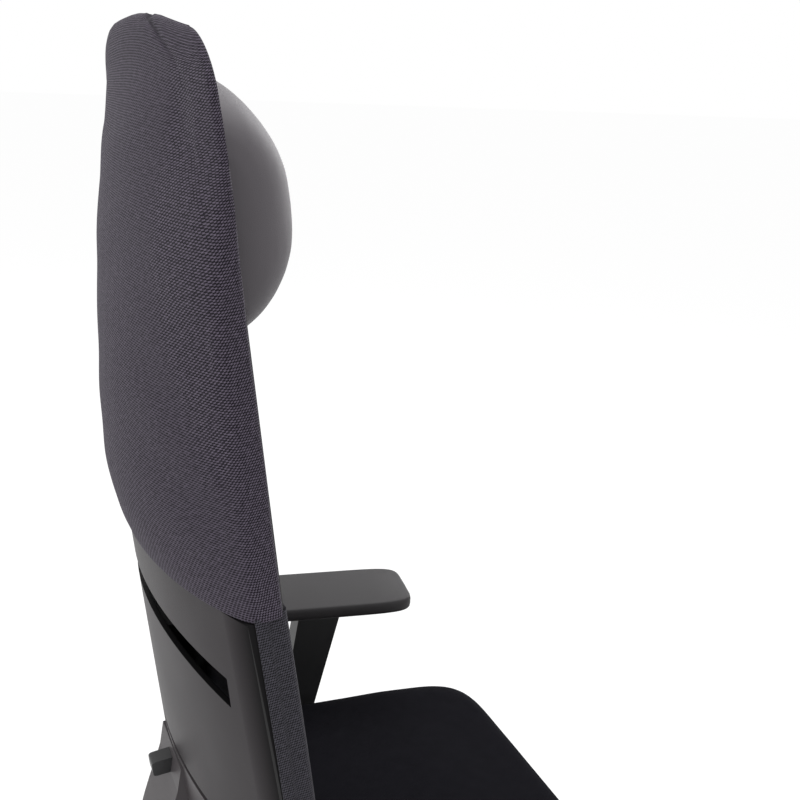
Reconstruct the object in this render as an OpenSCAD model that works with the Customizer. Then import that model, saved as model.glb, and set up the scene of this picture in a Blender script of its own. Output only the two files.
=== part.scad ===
// High-backed mesh executive chair: five-arm castor base, gas column, synchro tilt
// mechanism, sliding seat, height-adjustable back with a slotted shell, a padded
// fabric sleeve, a sliding neck pillow and leaning height-adjustable armrests.
// Millimetres, +Z up, the sitter faces -Y. The origin is the centre of the
// footprint on the floor.

/* [Seat] */
// Height of the seat surface above the floor with the column down
seat_h = 440; // [420:1:480]
// Width of the seat cushion
seat_w = 502; // [460:1:506]
// Reach of the cushion in front of the origin
seat_front = 249; // [230:1:270]
// Reach of the cushion behind the origin
seat_rear = 160; // [140:1:165]
// Thickness of the cushion at its edge
cushion_t = 50; // [40:1:56]
// Rise of the crown in the middle of the cushion
cushion_crown = 5; // [2:0.5:10]
// Drop of the rounded front edge of the cushion
waterfall = 14; // [6:1:24]
// Thickness of the seat pan
pan_t = 12; // [8:0.5:16]
// Travel of the seat depth slide
depth_travel = 50; // [20:1:60]

/* [Back] */
// Distance of the shell's rear face behind the origin at seat height
back_y = 194.5; // [188:0.5:204]
// Recline of the back from the vertical at rest, in degrees
back_lean = 8.1; // [6:0.1:10]
// Half width of the upper back
back_hw = 221; // [205:1:230]
// Extra half width of the lower back
back_flare = 14; // [6:1:20]
// Top of the back, measured up the back from seat height
back_top = 824; // [790:1:850]
// Lower edge of the back, measured up the back from seat height
back_bottom = 34; // [30:1:50]
// Lower edge of the fabric sleeve on the shell
sleeve_z = 388; // [378:1:400]
// Plan radius of the shell's rear face
shell_r = 552; // [480:1:700]
// Wall of the shell
shell_t = 5; // [4:0.5:7]
// Height of the crescent slot in the shell
slot_h = 23; // [14:1:28]
// Half length of the crescent slot
slot_hw = 183; // [140:1:190]
// Upper edge of the crescent slot at the middle
slot_z = 335; // [325:1:345]
// Fall of the slot from its middle to its ends
slot_fall = 12; // [4:1:18]
// Travel of the back height adjustment
back_travel = 60; // [20:1:70]

/* [Neck pillow] */
// Half width of the pillow
pillow_hw = 148; // [120:1:170]
// Height of the pillow
pillow_h = 222; // [180:1:240]
// Depth of the pillow
pillow_d = 86; // [60:1:100]
// Middle of the pillow, measured up the back from seat height
pillow_z = 675; // [660:1:690]
// Travel of the pillow each way from its rest
pillow_travel = 40; // [20:1:44]

/* [Armrests] */
// Height of the left pad's upper face above the floor
pad_h = 596; // [580:1:620]
// Sideways distance from the middle of the chair to the middle of the pad
pad_x = 246; // [240:1:252]
// Half width of the pad
pad_hw = 48.5; // [40:0.5:52]
// Length of the pad
pad_l = 250; // [220:1:256]
// Front end of the pad in front of the origin
pad_front = 135; // [110:1:140]
// Travel of the pad forward from its rest
pad_travel = 50; // [20:1:56]
// Thickness of the pad
pad_t = 16; // [14:0.5:24]
// Toe-in of the pad, in degrees
pad_toe = 7.3; // [0:0.1:10]
// Sideways distance from the middle of the chair to the middle of the post
post_x = 268; // [267:0.5:274]
// Forward lean of the post, in degrees
post_lean = 10.8; // [6:0.1:12]
// Travel of the armrest height adjustment
arm_travel = 100; // [60:1:104]
// How far the left armrest is raised above its lowest setting; the right one is left at it
arm_raised = 30; // [0:5:30]

/* [Base] */
// Distance from the column to each castor stem
base_r = 300; // [270:1:330]
// Height of the castor socket's lower face above the floor
socket_z = 68; // [66:1:74]
// Diameter of the castor wheels
wheel_d = 60; // [50:1:62]
// Width of one castor wheel
wheel_w = 20; // [16:0.5:22]
// Distance from the stem to the wheel axle
trail = 19; // [14:0.5:22]
// Outer diameter of the gas column
column_d = 50; // [46:0.5:54]
// Diameter of the piston rod
rod_d = 28; // [24:0.5:30]
// Travel of the gas column
lift_travel = 110; // [80:1:115]

/* [Mechanism] */
// Width of the tilt mechanism's housing
housing_w = 150; // [120:1:154]
// Distance of the seat's tilt axis in front of the origin
tilt_front = 96; // [90:1:104]
// Height of the seat's tilt axis
tilt_z = 330; // [326:1:333]
// Distance of the back's recline axis behind the origin
recline_y = 80; // [76:1:86]
// Height of the back's recline axis
recline_z = 308; // [304:1:312]
// Thickness of the seat carrier's plate
carrier_t = 8; // [6:0.5:9]
// Half width of the seat carrier
carrier_hw = 150; // [140:1:160]

/* [Hidden] */

// Running clearance between pieces that move past each other
clear = 0.3;
// Radial clearance of a shaft in its bore
shaft_fit = 0.05;
// Overrun of every cut past the faces that it opens
over = 1;
// Facets of round pieces
$fn = 64;

black = [0.09, 0.09, 0.095];
shell_grey = [0.29, 0.28, 0.29];
cloth = [0.27, 0.26, 0.30];
hide = [0.31, 0.30, 0.31];
steel = [0.62, 0.62, 0.64];

// Base: five arms from a hub, with a socket boss at each tip
arm_count = 5;
hub_r = column_d * 0.68;
hub_h = 60;
hub_low_z = 56;
arm_root_h = 46;
arm_tip_h = 26;
arm_root_hw = 27;
arm_tip_hw = 15;
arm_wall = 4;
socket_r = 17;
socket_h = arm_tip_h;
stem_r = 5.5;
stem_l = 21;
hub_top_z = hub_low_z + hub_h;

// Castors: twin wheels on one axle under a hood, trailing behind the stem
wheel_r = wheel_d / 2;
castor_web = 12;
axle_r = 4;
hood_gap = 1.5;
hood_t = 2.5;
castor_top_gap = 1;
tyre_edge = 3;
wheel_dish = 4;

// The column stands so that the footprint is centred on the origin
front_reach = base_r + socket_r;
rear_reach = base_r * cos(180 / arm_count) + trail + wheel_r;
column_y = (front_reach - rear_reach) / 2;

// Gas column
column_top_z = 290;
rod_top_z = 338;
rod_engaged = 32;
rod_sunk = lift_travel + rod_engaged;
collar_r = column_d * 0.4;
collar_h = 5;

// Mechanism housing, in heights above the floor
housing_low_z = 298;
housing_top_z = 347;
housing_nose = 118;
housing_tail = 56;
nose_low_z = 316;
ear_r = 17;
ear_t = 12;
pin_r = 6;
pin_head_r = 9;
pin_head_t = 3;
rib_t = 4;
rib_d = 6;
rib_pitch = 26;

// Seat carrier: a plate with a window, two ears at the front and two T-rails on top
carrier_z = 353;
carrier_front = 112;
carrier_rear = 134;
window_front = 66;
window_rear = 104;
carrier_ear_t = 8;
carrier_ear_l = 30;
rail_x = 116;
rail_web = 8;
rail_head = 18;
rail_web_h = 5;
rail_head_h = 4;

// Seat pan
pan_z = seat_h - cushion_t - pan_t;
pan_inset = 24;
pan_rim_h = 8;
pan_rim_t = 5;
shoe_w = rail_head + 14;
shoe_l = carrier_front + carrier_rear - 2 * depth_travel;
seat_mid_y = (seat_rear - seat_front) / 2;
seat_half_l = (seat_rear + seat_front) / 2;
seat_corner_share = 0.5;

// Levers under the seat
lever_r = 5;
lever_l = 118;
lever_sunk = 20;
paddle_l = 46;
paddle_w = 34;
paddle_t = 9;
lever_z = 326;
height_lever_y = -34;
lock_lever_y = -34;
knob_r = 19;
knob_l = 30;
knob_y = -62;
knob_stand = 12;
flutes = 10;
flute_r = 3;
button_w = 26;
button_h = 8;
button_l = 16;
button_press = 4;

// Back: curved front line, arch for the spine and tongue under the sleeve
flare_l = 230;
mesh_edge_y = 79;
mesh_dip = 7;
mesh_t = 3;
frame_d = 14;
mesh_return = mesh_t + frame_d;
frame_w = 16;
frame_top = back_top - 68;
frame_thin_z = 690;
frame_thin_y = 56;
frame_thin_r = 1500;
tongue_h = 24;
tongue_inset = 60;
hem_t = 3.5;
corner_low_r = 60;
corner_top_r = 45;
rim_t = 8;
slot_pitch = 176;
slot_gap = 7;
arch_z = slot_z - slot_pitch;
arch_hw = 112;
arch_side = 46;
waist_hw = 52;
waist_z = 24;
frame_r = (back_hw * back_hw + mesh_dip * mesh_dip) / (2 * mesh_dip);
mesh_y = mesh_edge_y - mesh_dip;

// Spine: bar from the recline axis, round under the seat and up into the arch
bar_t = 26;
bar_hw = 42;
bar_low_z = 300;
bar_reach = 250;
bar_bend = 74;
plate_t = 13;
blade_hw = 35;
blade_t = 10;
blade_y = 24;
blade_low = 96;
blade_engaged = 63;
carriage_wall = 6;
carriage_low = 182;
carriage_top = 300;
blade_top = carriage_low + back_travel + blade_engaged;
push_hw = 9;
push_h = 16;
push_z = 129;
push_out = 24;
push_in = 6;
push_travel = 4;

// Fabric sleeve of the upper back
sleeve_pad = 8;
sleeve_slope = 75;
slope_end_z = 790;
slope_power_share = 1.4;
sleeve_roll = 57;
sleeve_proud = 3;
ridge_y = 43;
ridge_slope = 8;
ridge_break = 630;
ridge_recede = 37;
ridge_edge = 6;
sleeve_wall = 4;
sleeve_top_r = 56;
sleeve_crown = 16;
front_corner_share = 0.26;
rear_corner_share = 0.36;

// Headrest rail and slide
rail_hw = 24;
rail_d = 12;
rail_wall = 2;
rail_slot_hw = 8;
shoe_hh = 22;
neck_hw = 7;
slide_plate_hw = 60;
slide_plate_hh = 70;
slide_plate_t = 4;
pillow_gap = 1;

// Armrests
post_t = 10;
post_d = 26;
sleeve_t = 24;
sleeve_low_d = 40;
sleeve_top_d = 58;
post_foot_y = 14;
bracket_t = 10;
bracket_d = 44;
bracket_in = 98;
sleeve_low_z = 396;
sleeve_head = 32.4;
stop_groove_hw = 4;
stop_groove_t = 2;
carrier_plate_t = 9;
carrier_plate_hw = 24;
carrier_plate_hl = 46;
pivot_r = 9;
pivot_h = 14;
pad_key_hw = 9;
pad_key_h = 5;
pad_key_hl = 34;
pad_edge = 4;
pad_corner_share = 0.3;
arm_button_hw = 7;
arm_button_hh = 9;
arm_button_out = 2;
arm_button_in = 6;
arm_button_l = 5;
arm_button_drop = 26;
bolt_r = 4;
bolt_head_r = 7;
bolt_head_t = 4;
bolt_x_inset = 18;
bolt_pitch = 24;

pad_low_z = pad_h - pad_t;
arm_top_z = pad_low_z - clear - carrier_plate_t - clear;
post_top_z = arm_top_z - sleeve_head - arm_raised;
foot_z = carrier_z - bracket_t;

// Value held between two limits
function between(v, low, high) = min(max(v, low), high);
// Power that keeps the sign, for rounded outlines
function signed_pow(v, p) = sign(v) * pow(abs(v), p);
// Depth of an arc of radius r at a distance x from its middle
function sag(x, r) = r - sqrt(r * r - x * x);
// Rounded outline with half sizes a and b
function rounded(a, b, p, n) =
    [for (i = [0:n - 1]) let (t = 360 * i / n) [a * signed_pow(cos(t), p), b * signed_pow(sin(t), p)]];
// Point of a cubic curve
function cubic(a, b, c, d, t) =
    a * pow(1 - t, 3) + b * 3 * t * pow(1 - t, 2) + c * 3 * t * t * (1 - t) + d * pow(t, 3);
function curve(a, b, c, d, n) = [for (i = [0:n]) cubic(a, b, c, d, i / n)];

// Half width of the back at height z up the back
function half_w(z) = back_hw + back_flare * sin(90 * between((sleeve_z - z) / flare_l, 0, 1));
// Inset of a rounded lower or upper corner of the back's outline
function corner_cut(d, r) = d >= r ? 0 : r - sqrt(max(0, r * r - (r - d) * (r - d)));
function side_x(z, low, high, rl, rh) = half_w(z) - corner_cut(z - low, rl) - corner_cut(high - z, rh);
// Heights at which an outline is sampled: the same ones for every outline between its corners
function height_steps(low, high, rl, rh) = concat(
    [for (i = [0:6]) low + rl * (1 - cos(90 * i / 6))],
    [for (i = [0:8]) let (z = sleeve_z - flare_l * (1 - i / 8)) if (z > low + rl + over && z < high - rh - over) z],
    [for (i = [0:6]) high - rh + rh * sin(90 * i / 6)]);
function outline(low, high, rl, rh, inset) = let (
    hs = height_steps(low, high, rl, rh),
    side = [for (z = hs) [side_x(z, low, high, rl, rh) - inset, z]],
    n = len(hs))
    concat(side, [for (i = [n - 1:-1:0]) [-side[i][0], side[i][1]]]);

// Closed solid through rings of equal length, from the lowest to the highest
module loft(rings) {
    n = len(rings[0]);
    m = len(rings);
    low_mid = [for (k = [0:2]) [for (p = rings[0]) p[k]] * [for (p = rings[0]) 1] / n];
    top_mid = [for (k = [0:2]) [for (p = rings[m - 1]) p[k]] * [for (p = rings[0]) 1] / n];
    points = concat([for (r = rings) each r], [low_mid, top_mid]);
    sides = [for (k = [0:m - 2]) for (i = [0:n - 1]) let (
        j = (i + 1) % n,
        a = k * n + i,
        b = k * n + j,
        c = (k + 1) * n + j,
        d = (k + 1) * n + i)
        each [[a, d, c], [a, c, b]]];
    lower = [for (i = [0:n - 1]) [i, (i + 1) % n, n * m]];
    upper = [for (i = [0:n - 1]) [(m - 1) * n + (i + 1) % n, (m - 1) * n + i, n * m + 1]];
    polyhedron(points = points, faces = concat(sides, lower, upper));
}

// Places children in the frame of the back: X across, Y to the rear, Z up the back
module in_back() {
    translate([0, back_y, seat_h]) rotate([-back_lean, 0, 0]) children();
}

// Prism across the back, cut through its whole depth
module through_back() {
    rotate([90, 0, 0]) linear_extrude(height = 4 * mesh_edge_y, center = true) children();
}

// Upright disc whose rear face is an arc that passes through depth y at the middle
module arc_disc(y, r, low, high) {
    translate([0, y - r, low]) cylinder(r = r, h = high - low, $fn = 256);
}

module star_base() {
    color(black) difference() {
        translate([0, column_y, 0]) union() {
            translate([0, 0, hub_low_z]) cylinder(r = hub_r, h = hub_h);
            for (i = [0:arm_count - 1]) rotate([0, 0, 360 * i / arm_count - 90]) base_arm();
        }
        translate([0, column_y, hub_low_z - over])
            cylinder(r = column_d / 2 + shaft_fit, h = hub_h + 2 * over);
        for (i = [0:arm_count - 1]) translate([0, column_y, 0])
            rotate([0, 0, 360 * i / arm_count - 90]) translate([base_r, 0, socket_z - over])
                cylinder(r = stem_r + shaft_fit, h = stem_l + over);
    }
}

// One arm along X: tapered in plan and in height, hollow underneath
module base_arm() {
    tip_top = socket_z + arm_tip_h;
    root_top = hub_top_z - rib_t;
    root_low = root_top - arm_root_h;
    intersection() {
        rotate([90, 0, 0]) linear_extrude(height = 4 * arm_root_hw, center = true)
            polygon(concat(
                curve([0, root_top], [base_r * 0.45, root_top], [base_r * 0.7, tip_top], [base_r, tip_top], 8),
                curve([base_r, socket_z], [base_r * 0.7, socket_z], [base_r * 0.45, root_low],
                    [0, root_low], 8)));
        difference() {
            linear_extrude(height = hub_top_z + over) polygon([[0, arm_root_hw], [base_r, arm_tip_hw],
                [base_r, -arm_tip_hw], [0, -arm_root_hw]]);
            // the channel under the arm leaves the side walls and the deck
            translate([0, 0, -arm_wall * 2])
                rotate([90, 0, 0]) linear_extrude(height = 2 * (arm_tip_hw - arm_wall), center = true)
                    polygon(concat([[hub_r, 0]],
                        [for (p = curve([hub_r, root_top], [base_r * 0.45, root_top],
                            [base_r * 0.7, tip_top], [base_r - socket_r, tip_top], 8)) p],
                        [[base_r - socket_r, 0]]));
        }
    }
    translate([base_r, 0, socket_z]) cylinder(r = socket_r, h = socket_h);
}

module column_tube() {
    color(black) translate([0, column_y, 0]) difference() {
        translate([0, 0, hub_low_z]) cylinder(r = column_d / 2, h = column_top_z - hub_low_z);
        translate([0, 0, hub_low_z + arm_wall])
            cylinder(r = rod_d / 2 + shaft_fit, h = column_top_z - hub_low_z + over);
    }
}

module piston_rod() {
    color(steel) translate([0, column_y, 0]) {
        translate([0, 0, column_top_z - rod_sunk]) cylinder(r = rod_d / 2, h = rod_top_z - column_top_z + rod_sunk);
        translate([0, 0, column_top_z + clear]) cylinder(r = collar_r, h = collar_h);
    }
}

// Stem, web and hood of one castor; the wheels trail towards +Y
module castor_fork(i) {
    axle_z = wheel_r;
    top_z = socket_z - castor_top_gap;
    hood_r = wheel_r + hood_gap + hood_t;
    color(black) at_castor(i) {
        translate([0, 0, top_z - stem_r]) cylinder(r = stem_r, h = stem_r + castor_top_gap + stem_l - over);
        difference() {
            union() {
                translate([-castor_web / 2, trail, axle_z]) rotate([0, 90, 0])
                    cylinder(r = wheel_r - hood_t, h = castor_web);
                translate([0, 0, axle_z]) cylinder(r = stem_r * 1.8, h = top_z - axle_z);
                intersection() {
                    translate([0, trail, axle_z]) rotate([0, 90, 0]) difference() {
                        cylinder(r = hood_r, h = castor_web + 2 * wheel_w, center = true);
                        cylinder(r = hood_r - hood_t, h = castor_web + 2 * wheel_w + 2 * over, center = true);
                    }
                    translate([-wheel_d, trail - wheel_d, axle_z + stem_r])
                        cube([2 * wheel_d, 1.3 * wheel_d, top_z - axle_z - stem_r]);
                }
                intersection() {
                    translate([-castor_web / 2, trail, axle_z]) rotate([0, 90, 0])
                        cylinder(r = hood_r, h = castor_web);
                    translate([-wheel_d, trail - wheel_d, axle_z])
                        cube([2 * wheel_d, 1.3 * wheel_d, top_z - axle_z]);
                }
            }
            translate([0, trail, axle_z]) rotate([0, 90, 0])
                cylinder(r = axle_r + shaft_fit, h = castor_web + 2 * over, center = true);
            for (s = [-1, 1]) translate([s * (castor_web / 2 + wheel_w), trail, axle_z]) rotate([0, 90, 0])
                cylinder(r = wheel_r + hood_gap, h = 2 * wheel_w, center = true);
        }
    }
}

// Two wheels fixed on one axle
module castor_wheels(i) {
    color(black) at_castor(i) translate([0, trail, wheel_r]) rotate([0, 90, 0]) {
        cylinder(r = axle_r, h = castor_web + wheel_w, center = true);
        for (s = [-1, 1]) scale([1, 1, s]) translate([0, 0, castor_web / 2 + clear]) difference() {
            rotate_extrude() polygon([[0, 0], [wheel_r - tyre_edge, 0], [wheel_r, tyre_edge],
                [wheel_r, wheel_w - clear - tyre_edge], [wheel_r - tyre_edge, wheel_w - clear],
                [wheel_r * 0.7, wheel_w - clear], [wheel_r * 0.62, wheel_w - clear - wheel_dish],
                [wheel_r * 0.3, wheel_w - clear - wheel_dish], [wheel_r * 0.2, wheel_w - clear],
                [0, wheel_w - clear]]);
        }
    }
}

module at_castor(i) {
    angle = 360 * (i - 1) / arm_count - 90;
    translate([base_r * cos(angle), column_y + base_r * sin(angle), 0]) children();
}

// Prism across the chair from a side view outline in Y and Z
module across(width) {
    rotate([90, 0, 90]) linear_extrude(height = width, center = true) children();
}

module mechanism_housing() {
    color(black) difference() {
        union() {
            across(housing_w) polygon([[-housing_nose, nose_low_z], [-housing_nose, housing_top_z - rib_t],
                [-housing_nose + rib_t, housing_top_z], [housing_tail, housing_top_z],
                [housing_tail, housing_low_z], [-housing_tail, housing_low_z]]);
            for (s = [-1, 1]) translate([s * (bar_hw + clear + ear_t / 2), 0, 0]) {
                across(ear_t) translate([recline_y, recline_z]) circle(r = ear_r);
                across(ear_t) polygon([[housing_tail - over, recline_z - ear_r],
                    [recline_y, recline_z - ear_r], [recline_y, recline_z + ear_r],
                    [housing_tail - over, recline_z + ear_r]]);
            }
        }
        // seat of the column's cone
        translate([0, column_y, housing_low_z - over])
            cylinder(r = rod_d / 2 + shaft_fit, h = rod_top_z - housing_low_z + over + clear);
        // bores of the pivot pins, the levers and the knob
        translate([0, -tilt_front, tilt_z]) rotate([0, 90, 0])
            cylinder(r = pin_r + shaft_fit, h = housing_w + 2 * over, center = true);
        translate([0, recline_y, recline_z]) rotate([0, 90, 0])
            cylinder(r = pin_r + shaft_fit, h = housing_w + 2 * over, center = true);
        for (s = [-1, 1]) translate([s * (housing_w / 2 - lever_sunk), s < 0 ? height_lever_y : lock_lever_y,
            lever_z]) rotate([0, s * 90, 0]) cylinder(r = lever_r + shaft_fit, h = lever_sunk + over);
        translate([-housing_w / 2 + lever_sunk, knob_y, lever_z]) rotate([0, -90, 0])
            cylinder(r = lever_r + shaft_fit, h = lever_sunk + over);
        // grooves that lighten the top between cast ribs
        for (k = [-1:1]) translate([-housing_w / 2 + rib_d * 2, k * rib_pitch - rib_pitch / 2 - tilt_front / 3,
            housing_top_z - rib_d]) cube([housing_w - rib_d * 4, rib_pitch - rib_t, rib_d + over]);
    }
}

module front_pivot_pin() {
    reach = housing_w / 2 + clear + carrier_ear_t + clear;
    color(steel) translate([0, -tilt_front, tilt_z]) rotate([0, 90, 0]) {
        cylinder(r = pin_r, h = 2 * reach, center = true);
        for (s = [-1, 1]) translate([0, 0, s * (reach + pin_head_t / 2)])
            cylinder(r = pin_head_r, h = pin_head_t, center = true);
    }
}

module rear_pivot_pin() {
    reach = bar_hw + clear + ear_t + clear;
    color(steel) translate([0, recline_y, recline_z]) rotate([0, 90, 0]) {
        cylinder(r = pin_r, h = 2 * reach, center = true);
        for (s = [-1, 1]) translate([0, 0, s * (reach + pin_head_t / 2)])
            cylinder(r = pin_head_r, h = pin_head_t, center = true);
    }
}

// Fluted knob on the sitter's right that sets the tilt tension
module tension_knob() {
    color(black) translate([-housing_w / 2, knob_y, lever_z]) rotate([0, -90, 0]) {
        translate([0, 0, -lever_sunk + clear]) cylinder(r = lever_r, h = lever_sunk + knob_stand);
        difference() {
            translate([0, 0, knob_stand]) rotate_extrude() polygon([[0, 0], [knob_r - pin_head_t, 0],
                [knob_r, pin_head_t], [knob_r, knob_l - pin_head_t], [knob_r - pin_head_t, knob_l], [0, knob_l]]);
            for (i = [0:flutes - 1]) rotate([0, 0, 360 * i / flutes])
                translate([knob_r + flute_r / 3, 0, knob_stand - over]) cylinder(r = flute_r, h = knob_l + 2 * over);
        }
    }
}

// Shaft out of the housing with a flat paddle at its end
module side_lever(side, y) {
    color(black) translate([side * housing_w / 2, y, lever_z]) rotate([0, side * 90, 0]) {
        translate([0, 0, -lever_sunk + clear]) cylinder(r = lever_r, h = lever_sunk + lever_l);
        translate([0, 0, lever_l - lever_r]) rotate([0, 90, 0])
            linear_extrude(height = paddle_t, center = true)
                polygon([for (p = rounded(paddle_l / 2, paddle_w / 2, seat_corner_share, 32))
                    [p[0] - paddle_l / 2, p[1] - paddle_w / 4]]);
    }
}

module height_lever() { side_lever(-1, height_lever_y); }
module tilt_lock_lever() { side_lever(1, lock_lever_y); }

module seat_carrier() {
    ear_x = housing_w / 2 + clear;
    color(black) difference() {
        union() {
            translate([-carrier_hw, -carrier_front, carrier_z])
                cube([2 * carrier_hw, carrier_front + carrier_rear, carrier_t]);
            for (s = [-1, 1]) {
                translate([s * (ear_x + carrier_ear_t / 2), 0, 0]) {
                    across(carrier_ear_t) translate([-tilt_front, tilt_z]) circle(r = carrier_ear_l / 2);
                    across(carrier_ear_t) polygon([[-tilt_front - carrier_ear_l / 2, tilt_z],
                        [-tilt_front + carrier_ear_l / 2, tilt_z],
                        [-tilt_front + carrier_ear_l / 2, carrier_z + over],
                        [-tilt_front - carrier_ear_l / 2, carrier_z + over]]);
                }
                translate([s * rail_x - rail_web / 2, -carrier_front, carrier_z + carrier_t - over])
                    cube([rail_web, carrier_front + carrier_rear, rail_web_h + over + over]);
                translate([s * rail_x - rail_head / 2, -carrier_front, carrier_z + carrier_t + rail_web_h])
                    cube([rail_head, carrier_front + carrier_rear, rail_head_h]);
            }
        }
        translate([-housing_w / 2 - carrier_ear_t, -window_front, carrier_z - over])
            cube([housing_w + 2 * carrier_ear_t, window_front + window_rear, carrier_t + 2 * over]);
        translate([0, -tilt_front, tilt_z]) rotate([0, 90, 0])
            cylinder(r = pin_r + shaft_fit, h = 4 * housing_w, center = true);
        for (s = [-1, 1]) for (k = [-1, 1]) arm_bolt_at(s, k) cylinder(r = bolt_r + shaft_fit,
            h = 4 * carrier_t, center = true);
    }
}

module seat_plan(inset) {
    translate([0, seat_mid_y]) polygon(rounded(seat_w / 2 - inset, seat_half_l - inset, seat_corner_share, 64));
}

module seat_pan() {
    rail_top = carrier_z + carrier_t + rail_web_h + rail_head_h;
    color(black) difference() {
        union() {
            translate([0, 0, pan_z]) linear_extrude(height = pan_t) seat_plan(pan_inset);
            for (s = [-1, 1]) translate([s * rail_x - shoe_w / 2, -shoe_l / 2, carrier_z + carrier_t + clear])
                cube([shoe_w, shoe_l, pan_z - carrier_z - carrier_t - clear + over]);
        }
        // recess inside the rim, for the cushion's base
        translate([0, 0, pan_z + pan_t - pan_rim_h + pan_rim_t]) linear_extrude(height = pan_rim_h)
            seat_plan(pan_inset + pan_rim_t);
        for (s = [-1, 1]) {
            translate([s * rail_x - rail_web / 2 - clear, -shoe_l, carrier_z])
                cube([rail_web + 2 * clear, 2 * shoe_l, rail_top - carrier_z]);
            translate([s * rail_x - rail_head / 2 - clear, -shoe_l, carrier_z + carrier_t + rail_web_h - clear])
                cube([rail_head + 2 * clear, 2 * shoe_l, rail_head_h + 2 * clear]);
        }
        depth_button_place() translate([-button_w / 2 - clear, -button_h / 2 - clear, -button_l - button_press])
            cube([button_w + 2 * clear, button_h + 2 * clear, button_l + button_press + 2 * pan_inset]);
    }
}

// Cushion with drawn-in lower sides, a rounded edge, a crown and a waterfall front
module seat_cushion() {
    base = [for (p = rounded(1, 1, seat_corner_share, 52)) p];
    low = pan_z + pan_t + clear;
    sides = [[0.915, 0], [0.955, 0.06], [0.985, 0.22], [1, 0.5], [0.995, 0.68], [0.975, 0.83], [0.94, 0.93],
        [0.885, 0.985], [0.8, 1]];
    crown = [for (s = [0.66, 0.5, 0.34, 0.18]) s];
    ring_z = function (y, share) low + (cushion_t - clear) * share
        - waterfall * share * pow(between((-y - seat_front * 0.35) / (seat_front * 0.65), 0, 1), 2);
    color(black) loft(concat(
        [for (k = sides) [for (p = base) let (y = seat_mid_y + p[1] * seat_half_l * k[0])
            [p[0] * seat_w / 2 * k[0], y, ring_z(y, k[1])]]],
        [for (s = crown) [for (p = base) let (y = seat_mid_y + p[1] * seat_half_l * s)
            [p[0] * seat_w / 2 * s, y, ring_z(y, 1) + cushion_crown * (1 - s * s / 0.64)]]]));
}

module depth_button_place() {
    translate([seat_w / 2 - pan_inset, -seat_front * 0.3, pan_z + pan_t / 2 - pan_rim_t / 2])
        rotate([90, 0, 90]) children();
}

module depth_button() {
    color(black) depth_button_place() translate([-button_w / 2, -button_h / 2, -button_l])
        cube([button_w, button_h, button_l + button_press]);
}

// Outline of the crescent slot, seen from behind
module slot_outline() {
    n = 16;
    upper = [for (i = [0:n]) let (x = slot_hw * (2 * i / n - 1)) [x, slot_z - slot_fall * pow(x / slot_hw, 2)]];
    lower = [for (i = [n:-1:0]) let (x = slot_hw * (2 * i / n - 1)) [x, slot_z - slot_h
        - (slot_fall + slot_h * 0.2) * pow(x / slot_hw, 2)]];
    polygon(concat(lower, upper));
}

// Arched upper edge of the spine's plate, grown by a gap for the cut-out in the shell
function arch_top(grow, n) = [for (i = [0:n]) let (x = (arch_hw + grow) * (1 - 2 * i / n))
    [x, arch_z - slot_gap + grow - slot_fall * pow(x / slot_hw, 2)]];

// Outline of the spine's plate: straight sides that draw in to the waist
module plate_outline() {
    top = arch_top(0, 12);
    side_z = top[0][1] - arch_side;
    mid_z = (side_z + waist_z) / 2;
    left = curve([-arch_hw, side_z], [-arch_hw, mid_z], [-waist_hw, mid_z], [-waist_hw, waist_z], 8);
    right = curve([waist_hw, waist_z], [waist_hw, mid_z], [arch_hw, mid_z], [arch_hw, side_z], 8);
    polygon(concat(top, left, right));
}

// Cut-out in the shell, with straight sides so that the shell can rise past the plate
module arch_cut() {
    polygon(concat(arch_top(slot_gap, 12),
        [[-arch_hw - slot_gap, -arch_z], [arch_hw + slot_gap, -arch_z]]));
}

module back_shell() {
    color(shell_grey) in_back() difference() {
        intersection() {
            difference() {
                arc_disc(0, shell_r, back_bottom, sleeve_z + tongue_h);
                arc_disc(-shell_t, shell_r - shell_t, back_bottom - over, sleeve_z + tongue_h + over);
            }
            through_back() intersection() {
                polygon(outline(back_bottom, back_top, corner_low_r, corner_top_r, 0));
                union() {
                    translate([-2 * back_hw, back_bottom]) square([4 * back_hw, sleeve_z - clear - back_bottom]);
                    translate([-back_hw + tongue_inset, sleeve_z - over])
                        square([2 * (back_hw - tongue_inset), tongue_h + over]);
                }
            }
        }
        through_back() slot_outline();
        through_back() arch_cut();
    }
}

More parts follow.
